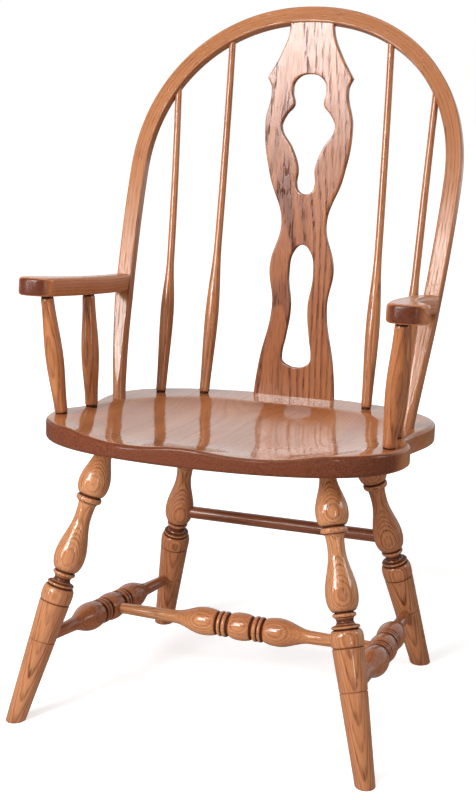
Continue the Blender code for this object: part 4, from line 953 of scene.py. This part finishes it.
upper_low, upper_high = upper_piercing[0][1], upper_piercing[-1][1]
lower_low, lower_high = lower_piercing[0][1], lower_piercing[-1][1]
splat_rows = np.sort(np.concatenate([
    between(-splat_foot_tenon, lower_low - splat_land),
    through_hole(lower_low, lower_high, lower_rows),
    between(lower_high + splat_land, upper_low - splat_land),
    through_hole(upper_low, upper_high, upper_rows),
    splat_ear[1] + np.array([-splat_ear_step, 0.0, splat_ear_step]),
    between(upper_high + splat_land, splat_length + splat_head_tenon)]))
outer_edge, outer_out = edge_at(right_side(splat_outline), splat_rows, 1.0)
inner_edge = np.stack([np.zeros_like(splat_rows), splat_rows], axis=-1)
inner_out = np.zeros_like(inner_edge)
pierced = np.zeros(len(splat_rows), bool)
for piercing in (lower_piercing, upper_piercing):
    inside = (splat_rows >= piercing[0][1]) & (splat_rows <= piercing[-1][1])
    inner_edge[inside], inner_out[inside] = edge_at(right_side(piercing), splat_rows[inside], -1.0)
    pierced |= inside
# The right half has walls round its piercings and is open on the middle line elsewhere. The left
# half mirrors it and shares the points on that line.
splat_half = board(inner_edge, inner_out, outer_edge, outer_out, splat_thick, splat_soft,
                   splat_columns, splat_corner)
loop = splat_half.shape[1]
walled = 2 * splat_columns + 2 * (splat_corner - 1) - 1
splat_half = np.concatenate([splat_half.reshape(-1, 3), splat_half[0].mean(axis=0, keepdims=True),
                             splat_half[-1].mean(axis=0, keepdims=True)])
splat_half[-2:, 0] = 0.0
wood_here = (np.arange(loop) < walled)[None] | (pierced[:-1] & pierced[1:])[:, None]
splat_quads = rings_joined(len(splat_rows), loop)[wood_here]
top_row = (len(splat_rows) - 1) * loop
rim = np.arange(walled)
ends = len(splat_half) - 2
splat_fans = np.concatenate([
    np.stack([rim + 1, rim, np.full(walled, ends)], axis=-1),
    np.stack([top_row + rim, top_row + rim + 1, np.full(walled, ends + 1)], axis=-1)])
count = len(splat_half)
splat_flat = np.concatenate([splat_half, splat_half * np.array([-1.0, 1.0, 1.0])])
twin = np.arange(count) + np.where(np.abs(splat_half[:, 0]) < splat_seam, 0, count)
splat_faces = [splat_quads, splat_fans, twin[splat_quads][:, ::-1], twin[splat_fans][:, ::-1]]
used = np.unique(np.concatenate([faces.ravel() for faces in splat_faces]))
renumbered = np.zeros(len(splat_flat), int)
renumbered[used] = np.arange(len(used))
splat_flat = splat_flat[used]
splat_depth = splat_flat[:, 2] - splat_bend * bowed(splat_flat[:, 1] / splat_length)
splat_points = (splat_foot + splat_flat[:, :1] * chair_left
                + splat_flat[:, 1:2] * splat_up + splat_depth[:, None] * splat_front)
splat_pith_behind = splat_pith[1] + splat_ring_slope * splat_flat[:, 1]
splat_grain = np.stack([splat_flat[:, 0] + splat_pith[0], splat_flat[:, 2] + splat_pith_behind,
                        splat_flat[:, 1]], axis=-1)
splat_oak = lacquered_oak(
    "oak_splat", (0.40, 0.142, 0.050), (0.34, 0.112, 0.038), (0.155, 0.046, 0.021),
    (0.20, 0.065, 0.03), ring=0.0085, wander=0.016, streaks=0.95, pored=0.90, fleck=420.0,
    gloss=0.20)
set_in_chair("splat", splat_points, splat_grain,
             [face for faces in splat_faces for face in renumbered[faces].tolist()],
             splat_up, splat_oak, "oak_splat")

# Spindles
# Two slender oak spindles on each side of the splat, shaved to a swelling low down and a thin
# neck, bent back with the splat. A sunk shoulder at the foot, painted dark as shade, leaves a
# dark line round its socket.
spindle_from_limb = 0.0449
# Each kind: its foot on the seat, its head's distance from the middle, its bend, and the share of
# its height where it swells
spindle_kinds = {
    "inner": ((0.1403, 0.1368), 0.1345, (0.0, 0.0083), 0.215),
    "outer": ((0.2060, 0.1082), bow_half_width - spindle_from_limb, (-0.0019, 0.0044), 0.255),
}
# At the foot, the swelling, the neck and the head
spindle_radii = np.array([0.0083, 0.0111, 0.0061, 0.0054])
spindle_neck = 0.43
spindle_forward = 0.0019
spindle_tenon = 0.014
spindle_rows, spindle_round = 150, 40
spindle_pith = (0.02, 0.015)
log_pace = 9.0
joint_tall, joint_line, joint_sunk = 0.0040, 0.0028, 0.0010
# Its end grain colour is very dark, for the painted shade in the line round each socket
spindle_oak = lacquered_oak(
    "oak_spindles", (0.49, 0.200, 0.080), (0.40, 0.144, 0.056), (0.20, 0.064, 0.026),
    (0.07, 0.020, 0.010), ring=0.0036, wander=0.0040, streaks=0.60, gloss=0.17)
for kind, (plan, head_x, bend, swell) in spindle_kinds.items():
    for hand, side in hands.items():
        foot = on_seat(plan[0] * side, plan[1])
        head = (bow_origin + chair_left * head_x * side
                + bow_up * bow_arch_height(head_x) + bow_front * spindle_forward)
        length = np.linalg.norm(head - foot)
        along = np.concatenate([[-spindle_tenon, joint_line],
                                np.linspace(joint_tall, length, spindle_rows)])
        share = along / length
        line = (foot + (head - foot) * share[:, None]
                + np.array([bend[0] * side, bend[1], 0.0]) * bowed(share)[:, None])
        spot = np.interp(share, (0.0, swell, spindle_neck, 1.0), np.arange(4.0))
        stage = np.minimum(spot.astype(int), 2)
        eased = 0.5 - 0.5 * np.cos(np.pi * (spot - stage))
        radius = spindle_radii[stage] + (spindle_radii[stage + 1] - spindle_radii[stage]) * eased
        radius[:2] -= joint_sunk
        points, grain = swept_round(
            line, unit(np.gradient(line, axis=0)), radius, along,
            (spindle_pith[0], spindle_pith[1] * side, head_x * log_pace), spindle_round)
        # The tenon and shoulder rows at the foot take the very dark end grain colour: painted
        # shade
        set_in_chair(f"spindle_{kind}_{hand}", *rolled(points, grain), unit(head - foot),
                     spindle_oak, "oak_spindles", np.ones(2 * spindle_round))

# Arm posts
# Two turned posts under each arm, fullest in the middle, tenoned into the seat and the arm. The
# same small sunk shoulder, painted dark as shade, shows at both ends as a dark ring.
arm_height = 0.6142
arm_fall = 0.122
# Each post's foot on the seat and head under the arm
post_plan = {"front": ((0.2598, -0.1347), (0.2756, -0.1405)),
             "rear": ((0.2470, -0.0600), (0.2545, -0.0470))}
post_radii = (0.0100, 0.0137, 0.0098)
post_swell = 0.48
post_tenons = (0.016, 0.015)
post_pith = (0.030, 0.012, 5.0)
# Its end grain colour is very dark, for the painted shade in the rings at both ends
post_oak = lacquered_oak(
    "oak_posts", (0.49, 0.186, 0.069), (0.40, 0.137, 0.049), (0.21, 0.064, 0.026),
    (0.07, 0.020, 0.010), ring=0.0032, wander=0.0040, streaks=0.60, gloss=0.12)
for kind, (foot_plan, head_plan) in post_plan.items():
    for hand, side in hands.items():
        foot = on_seat(foot_plan[0] * side, foot_plan[1])
        head = np.array([head_plan[0] * side, head_plan[1], arm_height - arm_fall * head_plan[1]])
        run, length = unit(head - foot), np.linalg.norm(head - foot)
        middle = (length * post_swell, post_radii[1])
        foot_sunk, head_sunk = post_radii[0] - joint_sunk, post_radii[2] - joint_sunk
        profile = np.concatenate([
            [(-post_tenons[0], foot_sunk), (joint_line, foot_sunk)],
            ease((joint_tall, post_radii[0]), middle),
            ease(middle, (length - joint_tall, post_radii[2]))[1:],
            [(length - joint_line, head_sunk), (length + post_tenons[1], head_sunk)]])
        pith = (post_pith[0], post_pith[1] * side, post_pith[2] + head_plan[1] * log_pace)
        # The tenon and shoulder rows at both ends take the very dark end grain colour: painted
        # shade
        shade_rows = np.zeros(len(profile))
        shade_rows[[0, 1, -2, -1]] = 1.0
        set_in_chair(f"arm_post_{kind}_{hand}", *rolled(*turned(profile, foot, run, pith)), run,
                     post_oak, "oak_posts", np.repeat(shade_rows, turning_round))

# Arms
# Flat boards that fall to the back, with a paddle in front for the hand, their rear ends cut to
# the front of the bow and tenoned into it. The grain runs along them, so the front is end grain.
arm_thick = 0.0275
arm_soft, arm_end_soft = 0.0050, 0.0080
arm_past_bow, arm_gap = 0.020, 0.0003
arm_rear_inside, arm_rear_outside = 0.0125, 0.0165
arm_straight_from = -0.020
arm_rows, arm_fine_rows = 130, 2000
arm_crowding, arm_first = 1.7, 0.001
arm_columns, arm_corner, arm_end_steps = 12, 6, 7
arm_pith = (-0.25, 0.035, 2.0)
arm_tilt = math.atan(arm_fall)
arm_back = np.array([0.0, math.cos(arm_tilt), -math.sin(arm_tilt)])
arm_up = np.array([0.0, math.sin(arm_tilt), math.cos(arm_tilt)])
arm_middle = np.array([0.0, 0.0, arm_height]) + arm_up * arm_thick / 2
arm_reach = (bow_origin - arm_middle) @ bow_front / (arm_back @ bow_front)
arm_limb_x = bow_limb_x((arm_middle + arm_back * arm_reach - bow_origin) @ bow_up)
arm_rear_y = arm_reach + arm_past_bow
arm_outline = [
    (arm_limb_x - arm_rear_inside, arm_rear_y, True),
    (arm_limb_x + arm_rear_outside, arm_rear_y, True),
    (0.2690, -0.0350, False), (0.2830, -0.0850, False), (0.3155, -0.1480, False),
    (0.3095, -0.1660, False), (0.2890, -0.1740, False), (0.2625, -0.1660, False),
    (0.2530, -0.1400, False), (0.2390, -0.0300, False)]
arm_tip = 6
arm_oak = lacquered_oak(
    "oak_arms", (0.57, 0.215, 0.084), (0.48, 0.165, 0.061), (0.32, 0.100, 0.040),
    (0.110, 0.028, 0.013), ring=0.0048, wander=0.0080, streaks=0.40, pored=0.45, gloss=0.22,
    drunk=0.35)


def arm_cut(level):
    """How far back an arm goes, at a height in its board, to meet the front of the bow."""
    front = bow_deep / 2 + arm_gap
    return ((front + (bow_origin - arm_middle) @ bow_front - level * (arm_up @ bow_front))
            / (arm_back @ bow_front))


arm_stretches = smooth_loop(arm_outline)
outer_chain = np.concatenate([*arm_stretches[1:arm_tip], [arm_outline[arm_tip][:2]]])[::-1]
inner_chain = np.concatenate([*arm_stretches[arm_tip:], [arm_outline[0][:2]]])
arm_edges = []
for chain, out in ((inner_chain, -1.0), (outer_chain, 1.0)):
    chain = chain[:np.argmax(chain[:, 1] > arm_cut(0.0)) + 1]
    fine, _ = evenly(chain, arm_fine_rows)
    crowded = np.linspace(0.0, 1.0, arm_rows) ** arm_crowding * (1.0 - arm_first) + arm_first
    crowded = crowded * (len(fine) - 1)
    picked = np.stack([np.interp(crowded, np.arange(len(fine)), c) for c in fine.T], axis=-1)
    way = unit(np.gradient(picked, axis=0))
    arm_edges += [picked, np.stack([way[:, 1], -way[:, 0]], axis=-1) * out]
arm_loops = board(*arm_edges, arm_thick, arm_soft, arm_columns, arm_corner)
# The tip of the paddle is closed by the ends of both faces and a strip between the two rims
rim_steps = np.arange(2 * arm_corner - 2)
right_rim = (arm_columns + rim_steps).tolist()
left_rim = (arm_loops.shape[1] - 1 - rim_steps).tolist()
rim_quads = np.stack([left_rim[:-1], left_rim[1:], right_rim[1:], right_rim[:-1]], axis=-1)
tip_cap = [[*range(right_rim[0], -1, -1), left_rim[0]],
           [*range(left_rim[-1], right_rim[-1] - 1, -1)],
           *rim_quads.tolist()]
# The rear part is drawn out to the leaning front of the bow, and its end is rounded over
arm_rear = arm_loops[-1, :, 1].mean()
reach = (arm_loops[..., 1] - arm_straight_from) / (arm_rear - arm_straight_from)
reach = np.clip(reach, 0.0, None)
arm_loops[..., 1] += reach * (arm_cut(arm_loops[..., 2]) - arm_rear)
end_angle = np.linspace(0.0, math.pi / 2, arm_end_steps)[1:, None]
end_loop = arm_loops[-1]
end_middle = end_loop[:, 0].mean()
narrowed = 1.0 - arm_end_soft * (1.0 - np.cos(end_angle)) / (arm_thick / 2)
end_rows = np.stack([
    end_middle + (end_loop[:, 0] - end_middle) * narrowed,
    arm_cut(end_loop[:, 2] * narrowed) - arm_end_soft * (1.0 - np.sin(end_angle)),
    end_loop[:, 2] * narrowed], axis=-1)
arm_loops[:, :, 1] -= reach * arm_end_soft
arm_loops = np.concatenate([arm_loops, end_rows])
for hand, side in hands.items():
    points = (arm_middle + arm_loops[..., :1] * chair_left * side
              + arm_loops[..., 1:2] * arm_back + arm_loops[..., 2:] * arm_up)
    grain = np.stack([arm_loops[..., 0] + arm_pith[0], arm_loops[..., 2] + arm_pith[1],
                      arm_loops[..., 1] + arm_pith[2] * side], axis=-1)
    flat, wood, faces = rolled(points, grain, tip_cap)
    faces = faces if side > 0.0 else [face[::-1] for face in faces]
    set_in_chair(f"arm_{hand}", flat, wood, faces, arm_back, arm_oak, "oak_arms")
